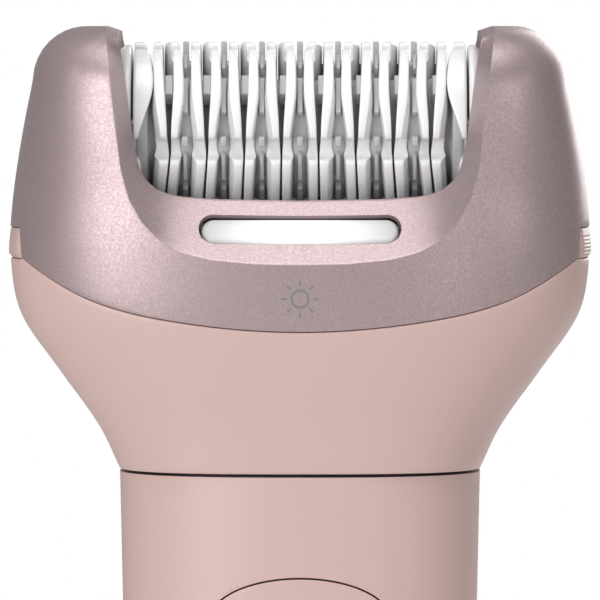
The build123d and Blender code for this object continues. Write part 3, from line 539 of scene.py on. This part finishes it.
# ------------------------------------------------------------------ head shells
@dataclass
class HeadForm:
    """Outer form of the head in millimetres: rounded rectangles that widen from the neck."""

    stations: Table = (
        (119.95, 20.45, 15.0), (124.8, 22.8, 15.6), (131.0, 27.2, 16.7), (137.5, 31.6, 17.7),
        (144.0, 32.8, 18.0), (150.0, 32.6, 17.8), (158.0, 31.4, 17.0), (166.0, 29.7, 15.8),
        (174.0, 27.6, 14.2),
    )
    top: float = 170.0
    shoulder_width: Pair = (30.4, 6.2)
    shoulder_depth: Pair = (16.6, 9.0)
    squareness: float = 2.8
    top_squareness: float = 4.0
    square_from: float = 150.0
    square_over: float = 19.0

    @property
    def turn(self) -> float:
        """Height at which the side turns over into the shoulder."""
        return self.top - self.shoulder_width[1]

    @property
    def crest(self) -> float:
        """Travel at which the shoulder meets the flat top."""
        return self.turn + self.shoulder_width[1] * math.pi / 2

    def travel(self, z: float) -> float:
        """Travel along the side and shoulder at a height."""
        if z <= self.turn:
            return z
        radius = self.shoulder_width[1]
        return self.turn + radius * math.asin(min(1.0, (z - self.turn) / radius))

    def section(self, travel: float) -> tuple[float, float, float, float]:
        """Half width, half depth, height and squareness at a travel."""
        radius = self.shoulder_width[1]
        flat_x, flat_y = self.shoulder_width[0] - radius, self.shoulder_depth[0] - self.shoulder_depth[1]
        angle = min(max(travel - self.turn, 0.0) / radius, math.pi / 2)
        z = travel if travel <= self.turn else self.turn + radius * math.sin(angle)
        wide, deep = curve_at(self.stations, min(z, self.stations[-1][0]))
        rise = max(0.0, z - (self.top - self.shoulder_depth[1]))
        round_y = flat_y + math.sqrt(max(0.0, self.shoulder_depth[1] ** 2 - rise**2))
        deep = deep - max(0.0, deep - round_y) if rise > 0 else deep
        if travel > self.turn:
            start = curve_at(self.stations, self.turn)[0]
            wide = flat_x + (start - flat_x) * math.cos(angle)
        share = ease((z - self.square_from) / self.square_over)
        squareness = self.squareness + (self.top_squareness - self.squareness) * share
        if travel > self.crest:
            shrink = 1 - (travel - self.crest) / flat_x
            return flat_x * shrink, flat_y * shrink, self.top, squareness
        return wide, deep, z, squareness

    def point(self, angle: float, travel: float, inset: float = 0.0) -> Point:
        """Point of the front right quarter; angle is 0 at the side and a quarter turn at the front."""
        wide, deep, z, n = self.section(travel)
        c, s = abs(math.cos(angle)), abs(math.sin(angle))
        r = (c**n + s**n) ** (-1 / n)
        return (wide - inset) * c * r, -(deep - inset) * s * r, z

    def angle_of(self, x: float, travel: float) -> float:
        """The angle at which the form has that x."""
        wide, _, _, n = self.section(travel)
        q = min(0.999999, max(1e-6, x / wide))
        return math.atan((q**-n - 1) ** (1 / n))


@dataclass
class Head:
    """Cap with its saddle opening, housing, side tabs, lens and printed light symbol."""

    form: HeadForm = field(default_factory=HeadForm)
    columns: tuple[int, int, int] = (22, 22, 18)
    column_x: Pair = (19.5, 30.6)
    cap_rows: int = 26
    housing_rows: int = 30
    seam: Table = (
        (-13.0, 137.0), (0.0, 136.0), (13.0, 137.0), (23.2, 139.4), (31.3, 144.0), (37.0, 148.8),
    )
    seam_gap: float = 0.12
    wall: float = 1.5
    rim: Table = (
        (0.0, 143.46), (5.0, 143.53), (9.98, 144.0), (13.31, 144.83), (15.66, 146.2), (17.6, 148.2),
        (19.0, 150.7), (19.9, 153.83), (20.45, 158.2), (21.14, 164.2), (21.55, 167.6),
        (21.83, 169.0),
    )
    lip: Table = (
        (0.0, 150.45), (9.57, 150.62), (13.5, 150.94), (15.1, 151.3), (16.3, 151.85),
        (17.3, 152.85), (17.95, 154.0), (18.35, 155.6), (18.75, 157.9), (19.14, 160.7),
        (19.64, 164.56), (20.1, 167.62), (20.33, 168.5),
    )
    corner_rows: tuple[int, int] = (6, 5)
    thin_columns: int = 9
    band_steps: tuple[float, ...] = (0.04, 0.3, 0.65, 0.96, 1.0)
    return_steps: tuple[float, ...] = (0.06, 0.2, 0.4, 0.6, 0.8, 1.0)
    lip_y: float = 10.6
    wall_x: float = 20.95
    floor_z: float = 150.6
    lip_drop: float = 1.3
    tab_z: Pair = (143.9, 147.3)
    tab_level: float = 145.0
    tab_half_depth: float = 8.0
    tab_gap: float = 0.15
    tab_clear: float = 0.1
    tab_step: Pair = (0.45, 0.5)
    tab_inner_x: float = 29.6
    tab_outer_x: float = 33.05
    tab_face_radius: float = 27.3
    tab_rows: int = 44
    tab_steps: int = 32
    rib_depth: float = 0.07
    rib_pitches: int = 8
    tab_round: float = 0.1
    lens_half: Pair = (11.0, 1.38)
    lens_rise: float = 1.36
    lens_z: float = 147.2
    lens_crown: Table = ((0.0, -1.05), (0.0, -0.32), (0.05, -0.18), (0.18, -0.06), (0.4, 0.0), (0.8, 0.02))
    lens_gap: float = 0.32
    pocket: Pair = (-1.1, 4.0)
    edge_round: float = 0.14
    symbol_z: float = 139.66
    symbol_ring: Pair = (0.81, 1.08)
    symbol_rays: int = 8
    ray_place: float = 1.79
    ray_size: Pair = (0.58, 0.24)
    print_depth: Pair = (-0.05, 0.012)

    def seam_z(self, x: float) -> float:
        """Height of the seam at a distance from the middle."""
        return curve_at(self.seam, x)[0]

    def seam_quarter(self, drop: float) -> list[Pair]:
        """(angle, travel) of the seam's columns, lowered by drop, stepped round the side tab."""
        corner, side = self.column_x
        found = []
        for count, start, end in ((self.columns[0], 0.0, corner), (self.columns[1], corner, side)):
            for step in range(count):
                x = start + (end - start) * step / count
                z = self.seam_z(x) - drop
                found.append((self.form.angle_of(max(x, 1e-4), z), z))
        side_angle = self.form.angle_of(side, self.seam_z(side))
        edge = self.tab_half_depth + self.tab_gap
        for step in range(self.columns[2] + 1):
            angle = side_angle * (1 - step / self.columns[2])
            x, y, _ = self.form.point(angle, self.tab_level)
            z = self.seam_z(x) - drop
            inside = ease((edge + self.tab_step[0] - abs(y)) / self.tab_step[1])
            target = self.tab_z[0] - self.tab_clear if drop > 0 else self.tab_z[1] + self.tab_clear
            found.append((angle, z + (target - z) * inside))
        return found

    def rim_quarter(self) -> list[Pair]:
        """(angle, travel) of the rim's columns: along the floor, up the side and over the ear."""
        corner = self.corner_rows[0]
        floor = spread(self.rim[: corner + 1], self.columns[0])
        side = spread(self.rim[corner:], self.columns[1])
        found = []
        for x, z in floor + side:
            travel = self.form.travel(z)
            found.append((self.form.angle_of(max(x, 1e-4), travel), travel))
        x_top, z_top = self.rim[-1]
        start = self.form.travel(z_top)
        end = self.form.crest + (self.form.section(self.form.crest)[0] - x_top)
        for step in range(self.columns[2] + 1):
            t = step / self.columns[2]
            travel = start + (end - start) * (1 - (1 - t) ** 2)
            found.append((self.form.angle_of(x_top, travel) if t < 1 else 0.0, travel))
        return found

    def lip_quarter(self, rim: Sequence[Point]) -> list[Point]:
        """Points of the lip's columns, the ear's following the rim beside them."""
        corner = self.corner_rows[1]
        floor = spread(self.lip[: corner + 1], self.columns[0])
        side = spread(self.lip[corner:], self.columns[1])
        found = [(x, -self.lip_y, z) for x, z in floor + side]
        x_top, z_top = self.lip[-1]
        ear = rim[self.columns[0] + self.columns[1] :]
        for _, y, z in ear:
            share = y / ear[0][1]
            found.append((x_top, -self.lip_y * share, z_top + z - ear[0][2]))
        return found

    def return_quarter(self, lip: Sequence[Point], share: float) -> list[Point]:
        """Points on the way down behind the lip: under the floor's lip and down the ear's inner face."""
        found = []
        corner = self.columns[0]
        top = self.columns[1] + self.columns[2]
        for index, (x, y, z) in enumerate(lip):
            if index <= corner:
                found.append((x * (1 - 0.004 * share), y + 0.5 * share, z - self.lip_drop * share))
                continue
            t = (index - corner) / top
            end_y = -self.lip_y * (1 - t)
            end_z = self.floor_z - self.lip_drop
            place_y = y + (end_y - y) * share
            place_z = z + (end_z - z) * share
            flat = curve_at([(b, a) for a, b in self.lip[3:]], min(max(place_z, 152.9), 168.5))[0]
            into = ease((self.lip_y - abs(place_y)) / 0.9)
            found.append((flat + (self.wall_x - flat) * into, place_y, place_z))
        return found

    def cap(self) -> None:
        """Mauve cap: one skin from the seam over the ears and down the saddle, its wall thin at the lip."""
        seam, rim = self.seam_quarter(0.0), self.rim_quarter()
        quarters = []
        for row in range(self.cap_rows + 1):
            t = row / self.cap_rows
            t += 0.12 * math.sin(math.pi * t) * (t - 0.5)
            quarters.append([self.form.point(*blend_points(low, high, t)) for low, high in zip(seam, rim)])
        edge = quarters[-1]
        lip = self.lip_quarter(edge)
        shares = [1.0] * len(quarters)
        for t in self.band_steps:
            quarters.append([blend_points(p, q, t) for p, q in zip(edge, lip)])
            shares.append(1.0 - 0.88 * ease((t - 0.3) / 0.62))
        for t in self.return_steps:
            quarters.append(self.return_quarter(lip, t))
            shares.append(0.08 + 0.2 * t)
        set_ends(quarters)
        shape = bmesh.new()
        weights = shape.verts.layers.deform.verify()
        rows = skin(shape, [four_fold(quarter) for quarter in quarters])
        for row, share in zip(rows, shares):
            past = [ease((k - self.columns[0]) / self.thin_columns) for k in range(len(edge))]
            thin = four_fold([(share + (1.0 - share) * full, 0.0, 0.0) for full in past])
            for vert, (value, _, _) in zip(row, thin):
                vert[weights][0] = abs(value)
        face_outwards(shape, (0.0, 0.0, 120.0))
        piece = Piece("cap_shell_skin", "cap", "cap_mauve", ("cap_shell",), self.wall, self.edge_round)
        piece.make(shape, [(self.lens_block(self.lens_gap), "DIFFERENCE")])

    def lens_frame(self) -> Matrix:
        """Places the XY plane on the band's floor at the lens, facing outwards and stretched up the band."""
        low = Vector(self.form.point(math.pi / 2, self.rim[0][1]))
        high = Vector((0.0, -self.lip_y, self.lip[0][1]))
        up = (high - low).normalized()
        out = Vector((1, 0, 0)).cross(up)
        centre = low + up * ((self.lens_z - low.z) / up.z)
        tilt = Matrix((Vector((1, 0, 0)), up, out)).transposed().to_4x4()
        stretch = Matrix.Diagonal((1.0, self.lens_rise, 1.0, 1.0))
        return Matrix.Translation((0.0, centre.y, centre.z)) @ tilt @ stretch

    def lens_block(self, grow: float) -> Shape:
        """Stadium prism through the band, which cuts the lens's pocket."""
        outline = stadium(self.lens_half[0] + grow, self.lens_half[1] + grow, 64)
        shape = capped([[(x, y, level) for x, y, _ in outline] for level in self.pocket])
        bmesh.ops.transform(shape, matrix=self.lens_frame(), verts=shape.verts)
        return shape

    def lens(self) -> None:
        """Opal lens with softly crowned edges, set a little below the band."""
        outline = stadium(*self.lens_half, ROUND)
        pull = self.lens_half[0] - self.lens_half[1]
        loops = []
        for inset, height in self.lens_crown:
            scale = (self.lens_half[1] - inset) / self.lens_half[1]
            loop = []
            for x, y, _ in outline:
                side = pull if x > 0 else -pull
                loop.append((side + (x - side) * scale, y * scale, height))
            loops.append(loop)
        shape = capped(loops)
        bmesh.ops.transform(shape, matrix=self.lens_frame(), verts=shape.verts)
        Piece("light_lens_opal", "cap", "lens_opal", ("light_lens",)).make(shape)

    def housing(self) -> None:
        """Pink housing from the neck to the seam, given a wall."""
        seam = self.seam_quarter(self.seam_gap)
        low = self.form.stations[0][0]
        quarters = []
        for row in range(self.housing_rows + 1):
            t = row / self.housing_rows
            quarters.append([self.form.point(angle, low + (z - low) * t) for angle, z in seam])
        set_ends(quarters)
        shape = bmesh.new()
        skin(shape, [four_fold(quarter) for quarter in quarters])
        face_outwards(shape, (0.0, 0.0, 130.0))
        nodes = ("head_housing",)
        Piece("head_housing_skin", "head", "housing_pink", nodes, self.wall, self.edge_round).make(shape)

    def tabs(self) -> None:
        """Ribbed grip tab at each side, bulging past the seam."""
        for side, name in ((-1, "left"), (1, "right")):
            loops = [self.tab_loop(side, row / self.tab_rows) for row in range(self.tab_rows + 1)]
            node = f"side_tab_{name}"
            piece = Piece(f"{node}_grip", f"tab_{name}", "tab_pink", (node,), bevel=self.tab_round)
            piece.make(capped(loops))

    def tab_loop(self, side: int, t: float) -> Loop:
        """Section of a side tab a share t of the way up, its face ribbed lower down and curved back above."""
        low, high = self.tab_z
        z = low + (high - low) * t
        crown = 0.62 * max(0.0, t - 0.35) ** 1.6 + 0.35 * max(0.0, 0.12 - t) / 0.12
        rib = self.rib_depth * (1 - abs(math.cos(math.pi * t * self.rib_pitches))) if t < 0.72 else 0.0
        face = self.tab_outer_x - crown - rib
        loop = []
        for step in range(self.tab_steps + 1):
            y = self.tab_half_depth * (1 - 2 * step / self.tab_steps)
            end = 0.5 * max(0.0, abs(y) - self.tab_half_depth + 0.6) ** 2
            back = self.tab_face_radius - math.sqrt(self.tab_face_radius**2 - y**2)
            loop.append((side * (face - back - end), y, z))
        inner = (-self.tab_half_depth, 0.0, self.tab_half_depth)
        return loop + [(side * self.tab_inner_x, y, z) for y in inner]

    def symbol(self) -> None:
        """Printed light symbol: a ring with eight rays, laid on the cap."""
        shape = bmesh.new()
        angles = [2 * math.pi * k / 48 for k in range(48)]
        skin(shape, [[(r * math.cos(a), r * math.sin(a), 0.0) for a in angles] for r in self.symbol_ring])
        for ray in range(self.symbol_rays):
            turn = Matrix.Rotation(2 * math.pi * ray / self.symbol_rays, 4, "Z")
            place = turn @ Matrix.Translation((self.ray_place, 0, 0))
            size = Matrix.Diagonal((*self.ray_size, 1.0, 1.0))
            bmesh.ops.create_grid(shape, x_segments=4, y_segments=1, size=0.5, matrix=place @ size)
        faces = list(shape.faces)
        made = bmesh.ops.extrude_face_region(shape, geom=faces)["geom"]
        proud = {item for item in made if isinstance(item, Vertex)}
        for vert in shape.verts:
            x, z = vert.co.x, self.symbol_z + vert.co.y
            wide, deep, _, n = self.form.section(z)
            surface = -deep * (1 - (abs(x) / wide) ** n) ** (1 / n)
            vert.co = (x, surface - self.print_depth[vert in proud], z)
        Piece("light_symbol", "cap", "symbol_grey").make(shape)

    def build(self) -> None:
        """Makes the head's outer pieces."""
        self.cap()
        self.lens()
        self.housing()
        self.tabs()
        self.symbol()


# ------------------------------------------------------------------ barrel
@dataclass
class Barrel:
    """Tweezer discs in pairs, domed end discs and the grey hub, in millimetres."""

    axis_z: float = 158.2
    radius: float = 10.0
    bore: float = 5.4
    pitch: float = 4.3
    pairs: int = 8
    first_notch: float = -12.7
    edge: Table = (
        (0.0, 8.0), (3.0, 8.0), (5.6, 8.06), (7.2, 8.3), (7.4, 8.7), (7.0, 9.1), (7.0, 9.45),
        (7.6, 9.76), (8.9, 9.94), (11.0, 10.0), (14.0, 10.0), (18.0, 10.0), (23.0, 10.0),
        (29.0, 10.0), (35.0, 10.0), (40.0, 10.0), (45.0, 10.0),
    )
    across: Table = (
        (0.0, 0.0), (0.4, 0.0), (0.7, 0.0), (0.9, 0.0), (0.975, 0.0), (1.0, 0.12), (1.0, 0.5),
        (1.0, 0.88), (0.975, 1.0), (0.9, 1.0), (0.7, 1.0), (0.4, 1.0), (0.0, 1.0),
    )
    half_gap: Table = (
        (-10.0, 0.16), (-6.6, 0.14), (-2.8, 0.10), (-0.8, 0.22), (0.8, 0.27), (3.2, 0.42),
        (5.1, 0.52), (10.0, 0.63),
    )
    thickness: Table = (
        (-10.0, 0.90), (-6.6, 0.95), (-2.8, 1.05), (-2.0, 0.82), (-0.8, 0.76), (3.4, 1.14),
        (5.1, 1.16), (10.0, 1.02),
    )
    lean: Table = (
        (-10.0, -0.35), (-6.6, 0.02), (-2.8, 0.42), (-0.8, 0.36), (5.1, 0.32), (10.0, 0.05),
    )
    end_x: tuple[float, float, float] = (18.75, 18.95, 20.65)
    wedge: Table = (
        (-10.0, 1.0), (-4.0, 0.9), (-1.6, 0.35), (4.6, 2.2), (8.4, 1.9), (10.0, 1.1),
    )
    waist: Table = ((0.3, 7.9), (0.95, 7.6), (1.3, 6.9), (1.55, 5.7))
    hub_end: Table = ((18.2, 8.5), (17.2, 8.6), (16.9, 7.0))
    axle_clear: float = 1.6
    nubs: tuple[tuple[float, Pair, Pair], ...] = (
        (83.0, (7.2, 10.1), (0.34, 0.5)),
        (62.0, (7.2, 8.9), (0.22, 1.6)),
        (28.0, (7.2, 8.6), (0.30, 2.2)),
    )
    pair_nub: tuple[float, Pair, Pair] = (38.0, (6.4, 8.5), (0.45, 1.35))
    pair_nub_x: float = 0.3
    dome_round: float = 1.25
    dome_steps: int = 8

    def outline(self) -> list[Pair]:
        """(angle in degrees, radius) round a disc with four petals."""
        half = list(self.edge)
        period = half + [(90.0 - a, r) for a, r in reversed(half[1:-1])]
        return [(self.first_notch + 90 * turn + a, r) for turn in range(4) for a, r in period]

    def faces(self, middle: float, side: int, y: float, height: float, radius: float) -> Pair:
        """Inner and outer face of a bent disc at one place.

        Args:
            middle: the pair's middle.
            side: -1 or 1, the disc's side of the middle.
            y: depth of the place, negative at the front.
            height: height above the axis.
            radius: distance from the axis.

        Returns:
            x of the inner and of the outer face.
        """
        outward = math.copysign(1.0, middle)
        far = abs(middle) / (self.pitch * (self.pairs - 1) / 2)
        front = ease((2.5 - y) / 5.0)
        gap = curve_at(self.half_gap, height)[0] * front + 0.05 * (1 - front)
        thick = curve_at(self.thickness, height)[0] * front + 1.02 * (1 - front)
        shift = -outward * curve_at(self.lean, height)[0] * far * front + outward * 0.4 * (1 - front)
        flare = (0.62 if side == outward else 0.22) * ease((self.radius - 0.1 - radius) / 1.7)
        flare *= ease((7.0 - height) / 6.0) * front
        inner = middle + shift + side * gap
        return inner, inner + side * (thick + flare)

    def petals(self, shape: Shape, faces: Callable[[float, float, float], Pair]) -> None:
        """Adds a disc with four petals.

        Args:
            shape: the bmesh to add to.
            faces: gives x of the inner and outer face from the depth, the height and the radius of a place.
        """
        loops = []
        for share, depth in self.across:
            loop = []
            for degrees, radius in self.outline():
                r = self.bore + (radius - self.bore) * share
                angle = math.radians(degrees)
                y, height = -r * math.cos(angle), r * math.sin(angle)
                inner, outer = faces(y, height, r)
                loop.append((inner + (outer - inner) * depth, y, self.axis_z + height))
            loops.append(loop)
        ring(shape, loops)

    def middle(self, index: int) -> float:
        """x of a pair's middle."""
        return (index - (self.pairs - 1) / 2) * self.pitch

    def pair(self, index: int) -> None:
        """Two discs that close on a hair as the barrel turns."""
        shape = bmesh.new()
        for side in (-1, 1):
            self.petals(shape, partial(self.faces, self.middle(index), side))
        node = f"tweezer_pair_{index + 1}"
        Piece(f"{node}_discs", "barrel", "disc_ceramic", (node,), levels=1, sharp=50.0).make(shape)

    def wedge_faces(self, side: int, y: float, height: float, _: float) -> Pair:
        """Inner and outer face of an end disc's wedge petals at a depth and height."""
        front = ease((2.5 - y) / 5.0)
        thick = curve_at(self.wedge, height)[0] * front + 1.3 * (1 - front)
        return side * (self.end_x[0] - thick), side * self.end_x[0]

    def end_disc(self, side: int, name: str) -> None:
        """Wedge-shaped end petals under a domed cover disc."""
        shape = bmesh.new()
        self.petals(shape, partial(self.wedge_faces, side))
        low, high = self.end_x[1:]
        profile = [(low, self.bore), (low, 9.2), (low + 0.12, 9.62)]
        for step in range(self.dome_steps + 1):
            turn = math.pi / 2 * step / self.dome_steps
            x = high - self.dome_round * (1 - math.sin(turn))
            profile.append((x, 9.7 - 1.6 * (1 - math.cos(turn))))
        profile += [(high, 6.0), (high, self.bore)]
        ring(shape, [turned(side * x, radius, self.axis_z) for x, radius in profile])
        node = f"end_disc_{name}"
        Piece(f"{node}_dome", "barrel", "disc_ceramic", (node,), levels=1, sharp=50.0).make(shape)

    def hub(self) -> None:
        """Grey hub: a core with a waisted spacer and small nubs between the pairs."""
        shape = bmesh.new()
        middles = [self.middle(gap) + self.pitch / 2 for gap in range(self.pairs - 1)]
        end = ((self.end_x[0], self.axle_clear), (self.end_x[0], 7.6), *self.hub_end)
        stations = [(-x, radius) for x, radius in end]
        for middle in middles:
            stations += [(middle - offset, radius) for offset, radius in reversed(self.waist)]
            stations += [(middle + offset, radius) for offset, radius in self.waist]
        stations += reversed(end)
        ring(shape, [turned(x, radius, self.axis_z) for x, radius in stations])
        for middle in middles:
            for quarter in range(4):
                for degrees, radii, half in self.nubs:
                    self.nub(shape, middle, degrees + 90.0 * quarter, radii, half)
        degrees, radii, half = self.pair_nub
        for index in range(self.pairs):
            for quarter in range(4):
                place = self.middle(index) + self.pair_nub_x
                self.nub(shape, place, degrees + 90.0 * quarter, radii, half)
        Piece("barrel_hub_spool", "barrel", "hub_grey", ("barrel_hub",), bevel=0.12, sharp=40.0).make(shape)

    def nub(self, shape: Shape, x: float, degrees: float, radii: Pair, half: Pair) -> None:
        """Adds a block that stands out from the hub between two radii, half thick in x and round the axis."""
        low, high = radii
        size = Matrix.Diagonal((2 * half[0], high - low, 2 * half[1], 1.0))
        place = Matrix.Translation((x, 0.0, self.axis_z)) @ Matrix.Rotation(-math.radians(degrees), 4, "X")
        out = Matrix.Translation((0.0, -(low + high) / 2, 0.0))
        bmesh.ops.create_cube(shape, size=1.0, matrix=place @ out @ size)

    def build(self) -> None:
        """Makes the barrel's visible pieces."""
        for index in range(self.pairs):
            self.pair(index)
        for side, name in ((-1, "left"), (1, "right")):
            self.end_disc(side, name)
        self.hub()


# ------------------------------------------------------------------ handle
@dataclass
class Handle:
    """Handle's front shell, front panel and neck seal, in millimetres."""

    stations: Table = (
        (0.0, 15.6, 12.0, 2.6), (6.0, 16.4, 12.7, 2.4), (32.0, 17.6, 13.7, 1.5),
        (62.0, 18.7, 14.4, 0.6), (92.0, 19.8, 14.8, 0.1), (119.6, 20.45, 15.0, 0.0),
    )
    squareness: float = 2.4
    segments: int = 192
    top: float = 119.6
    base: float = 6.0
    gap: float = 0.10
    split_y: float = 1.0
    wall: float = 1.8
    panel_z: float = 82.0
    panel_half: Pair = (10.0, 26.2)
    panel_end: float = 4.7
    panel_gap: float = 0.22
    panel_from: float = 40.0
    panel_wall: float = 1.2
    edge_round: float = 0.07
    cut_y: Pair = (-30.0, -6.0)
    button_z: float = 72.0
    button_radius: float = 6.0
    button_gap: float = 0.12
    lamp_z: float = 92.0
    lamp_radius: float = 1.5
    lamp_gap: float = 0.05
    seal_insets: Pair = (0.55, 3.0)

    def loop(self, z: float, inset: float = 0.0) -> Loop:
        """Section of the handle at a height, drawn in by inset."""
        wide, deep, centre = curve_at(self.stations, z)
        points = []
        for step in range(self.segments):
            angle = 2 * math.pi * step / self.segments
            c, s = math.cos(angle), math.sin(angle)
            r = (abs(c) ** self.squareness + abs(s) ** self.squareness) ** (-1 / self.squareness)
            points.append(((wide - inset) * c * r, centre + (deep - inset) * s * r, z))
        return points

    def tube(self, low: float, high: float, rows: int = 60) -> Shape:
        """Open sheet that follows the handle between two heights."""
        shape = bmesh.new()
        skin(shape, [self.loop(low + (high - low) * row / rows) for row in range(rows + 1)])
        face_outwards(shape, (0.0, 1.0, (low + high) / 2))
        return shape

    def half(self, shape: Shape, front: bool) -> Shape:
        """Keeps the part of a shape on one side of the shells' joint."""
        y = self.split_y - self.gap / 2 if front else self.split_y + self.gap / 2
        geometry = shape.verts[:] + shape.edges[:] + shape.faces[:]
        cut = {"plane_co": (0, y, 0), "plane_no": (0, 1, 0), "clear_outer": front, "clear_inner": not front}
        bmesh.ops.bisect_plane(shape, geom=geometry, dist=1e-4, **cut)
        return shape

    def oval(self, grow: float) -> Shape:
        """Long prism with arched ends through the handle's front."""
        wide, high = self.panel_half
        straight = high - self.panel_end
        loops = []
        for y in self.cut_y:
            loop = []
            for k in range(128):
                a = 2 * math.pi * (k + 0.5) / 128
                end = straight if math.sin(a) > 0 else -straight
                z = self.panel_z + end + (self.panel_end + grow) * math.sin(a)
                loop.append(((wide + grow) * math.cos(a), y, z))
            loops.append(loop)
        return capped(loops)

    def rod(self, radius: float, z: float) -> Shape:
        """Round prism through the handle's front at a height."""
        shape = bmesh.new()
        far, near = self.cut_y
        matrix = Matrix.Translation((0.0, (far + near) / 2, z)) @ Matrix.Rotation(math.pi / 2, 4, "X")
        radii = {"radius1": radius, "radius2": radius, "depth": near - far}
        bmesh.ops.create_cone(shape, cap_ends=True, segments=ROUND, matrix=matrix, **radii)
        return shape

    def front(self) -> None:
        """Front shell with the panel's opening, and the panel with the button's and the lamp's."""
        shell = self.half(self.tube(self.base + self.gap, self.top), True)
        nodes = ("handle_front_shell",)
        piece = Piece("handle_front_skin", "handle", "handle_pink", nodes, self.wall, self.edge_round)
        piece.make(shell, [(self.oval(self.panel_gap), "DIFFERENCE")])
        panel = self.half(self.tube(self.panel_from, self.top), True)
        cuts = [
            (self.oval(0.0), "INTERSECT"),
            (self.rod(self.button_radius + self.button_gap, self.button_z), "DIFFERENCE"),
            (self.rod(self.lamp_radius + self.lamp_gap, self.lamp_z), "DIFFERENCE"),
        ]
        nodes = ("front_panel",)
        piece = Piece("front_panel_skin", "handle", "handle_pink", nodes, self.panel_wall, self.edge_round)
        piece.make(panel, cuts)

    def seal(self) -> None:
        """Seal ring in the seam under the head."""
        shape = bmesh.new()
        low, high = (corner.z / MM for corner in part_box("neck_seal"))
        outer, inner = self.seal_insets
        sides = ((outer, low), (outer, high), (inner, high), (inner, low))
        ring(shape, [[(x, y, z) for x, y, _ in self.loop(self.top, inset)] for inset, z in sides])
        Piece("neck_seal_ring", "handle", "seal_black", ("neck_seal",)).make(shape)

    def build(self) -> None:
        """Makes the handle's outer pieces."""
        self.front()
        self.seal()


# ------------------------------------------------------------------ studio
@dataclass
class Softbox:
    """A rectangular studio light aimed at a point."""

    name: str
    place: Point
    aim: Point
    size: Pair
    power: float

    def build(self) -> None:
        """Adds the light."""
        data = bpy.data.lights.new(self.name, "AREA")
        data.shape = "RECTANGLE"
        data.size, data.size_y = self.size
        data.energy = self.power
        light = bpy.data.objects.new(self.name, data)
        light.location = self.place
        light.rotation_mode = "QUATERNION"
        away = Vector(self.aim) - Vector(self.place)
        light.rotation_quaternion = away.to_track_quat("-Z", "Y")
        light.visible_camera = False
        bpy.context.scene.collection.objects.link(light)


@dataclass
class Studio:
    """Pale floor, white surround, softboxes and the camera."""

    camera_place: Point = (0.0, -0.8, 0.169)
    camera_aim: Point = (0.0, 0.0, 0.1389)
    focal_length: float = 422.8
    floor_radius: float = 1.0
    surround_radius: float = 4.0
    ambient: float = 0.30
    softboxes: list[Softbox] = field(
        default_factory=lambda: [
            Softbox("key", (-0.42, -0.62, 0.34), (0.0, 0.0, 0.14), (0.34, 0.60), 3.1),
            Softbox("fill", (0.30, -0.72, 0.20), (0.01, 0.0, 0.14), (0.10, 0.45), 0.35),
            Softbox("strip", (0.55, -0.50, 0.34), (0.02, 0.0, 0.16), (0.03, 0.28), 0.42),
            Softbox("top", (0.0, -0.10, 0.62), (0.0, 0.0, 0.16), (0.40, 0.30), 1.25),
            Softbox("rear", (0.35, 0.75, 0.40), (0.0, 0.0, 0.13), (0.40, 0.50), 2.4),
        ]
    )

    def build(self) -> None:
        """Adds the floor, the surround, the lights and the camera."""
        world = bpy.data.worlds.new("studio")
        world.use_nodes = True
        backdrop = world.node_tree.nodes["Background"]
        backdrop.inputs["Color"].default_value = (1.0, 1.0, 1.0, 1.0)
        backdrop.inputs["Strength"].default_value = self.ambient
        scene = bpy.context.scene
        scene.world = world
        scene.view_settings.view_transform = "Standard"
        for softbox in self.softboxes:
            softbox.build()
        self._floor()
        self._surround()
        data = bpy.data.cameras.new("camera")
        data.sensor_width = 36.0
        data.lens = self.focal_length
        data.clip_start, data.clip_end = 0.01, 20.0
        camera = bpy.data.objects.new("camera", data)
        camera.location = self.camera_place
        camera.rotation_mode = "QUATERNION"
        away = Vector(self.camera_aim) - Vector(self.camera_place)
        camera.rotation_quaternion = away.to_track_quat("-Z", "Y")
        scene.collection.objects.link(camera)
        scene.camera = camera

    def _floor(self) -> None:
        """Round pale floor under the base."""
        shape = bmesh.new()
        bmesh.ops.create_circle(shape, cap_ends=True, segments=128, radius=self.floor_radius)
        floor = link_mesh(shape, "floor")
        floor.data.materials.append(Finish("floor_pale", (0.82, 0.81, 0.80), 0.7, contrast=0.01).material())

    def _surround(self) -> None:
        """White surround that only the camera sees, so it adds no light."""
        shape = bmesh.new()
        bmesh.ops.create_icosphere(shape, subdivisions=4, radius=self.surround_radius)
        bmesh.ops.reverse_faces(shape, faces=shape.faces)
        surround = link_mesh(shape, "surround")
        graph = Graph("surround_white")
        glow = graph.node("ShaderNodeEmission", {}, {"Color": (1.0, 1.0, 1.0, 1.0), "Strength": 1.0})
        graph.tree.links.new(glow.link, graph.output.inputs["Surface"])
        surround.data.materials.append(graph.material)
        for ray in ("diffuse", "glossy", "transmission", "volume_scatter", "shadow"):
            setattr(surround, f"visible_{ray}", False)


def link_mesh(shape: Shape, name: str) -> bpy.types.Object:
    """Makes an object of a bmesh, in the scene, and frees the bmesh."""
    mesh = bpy.data.meshes.new(name)
    shape.to_mesh(mesh)
    shape.free()
    made = bpy.data.objects.new(name, mesh)
    bpy.context.scene.collection.objects.link(made)
    return made


def main() -> None:
    """Builds the pieces in order, then the studio."""
    logging.basicConfig(level=logging.INFO, format="%(name)s: %(message)s")
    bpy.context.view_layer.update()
    dress_nodes()
    Head().build()
    Barrel().build()
    Handle().build()
    Studio().build()


if __name__ == "__main__":
    main()
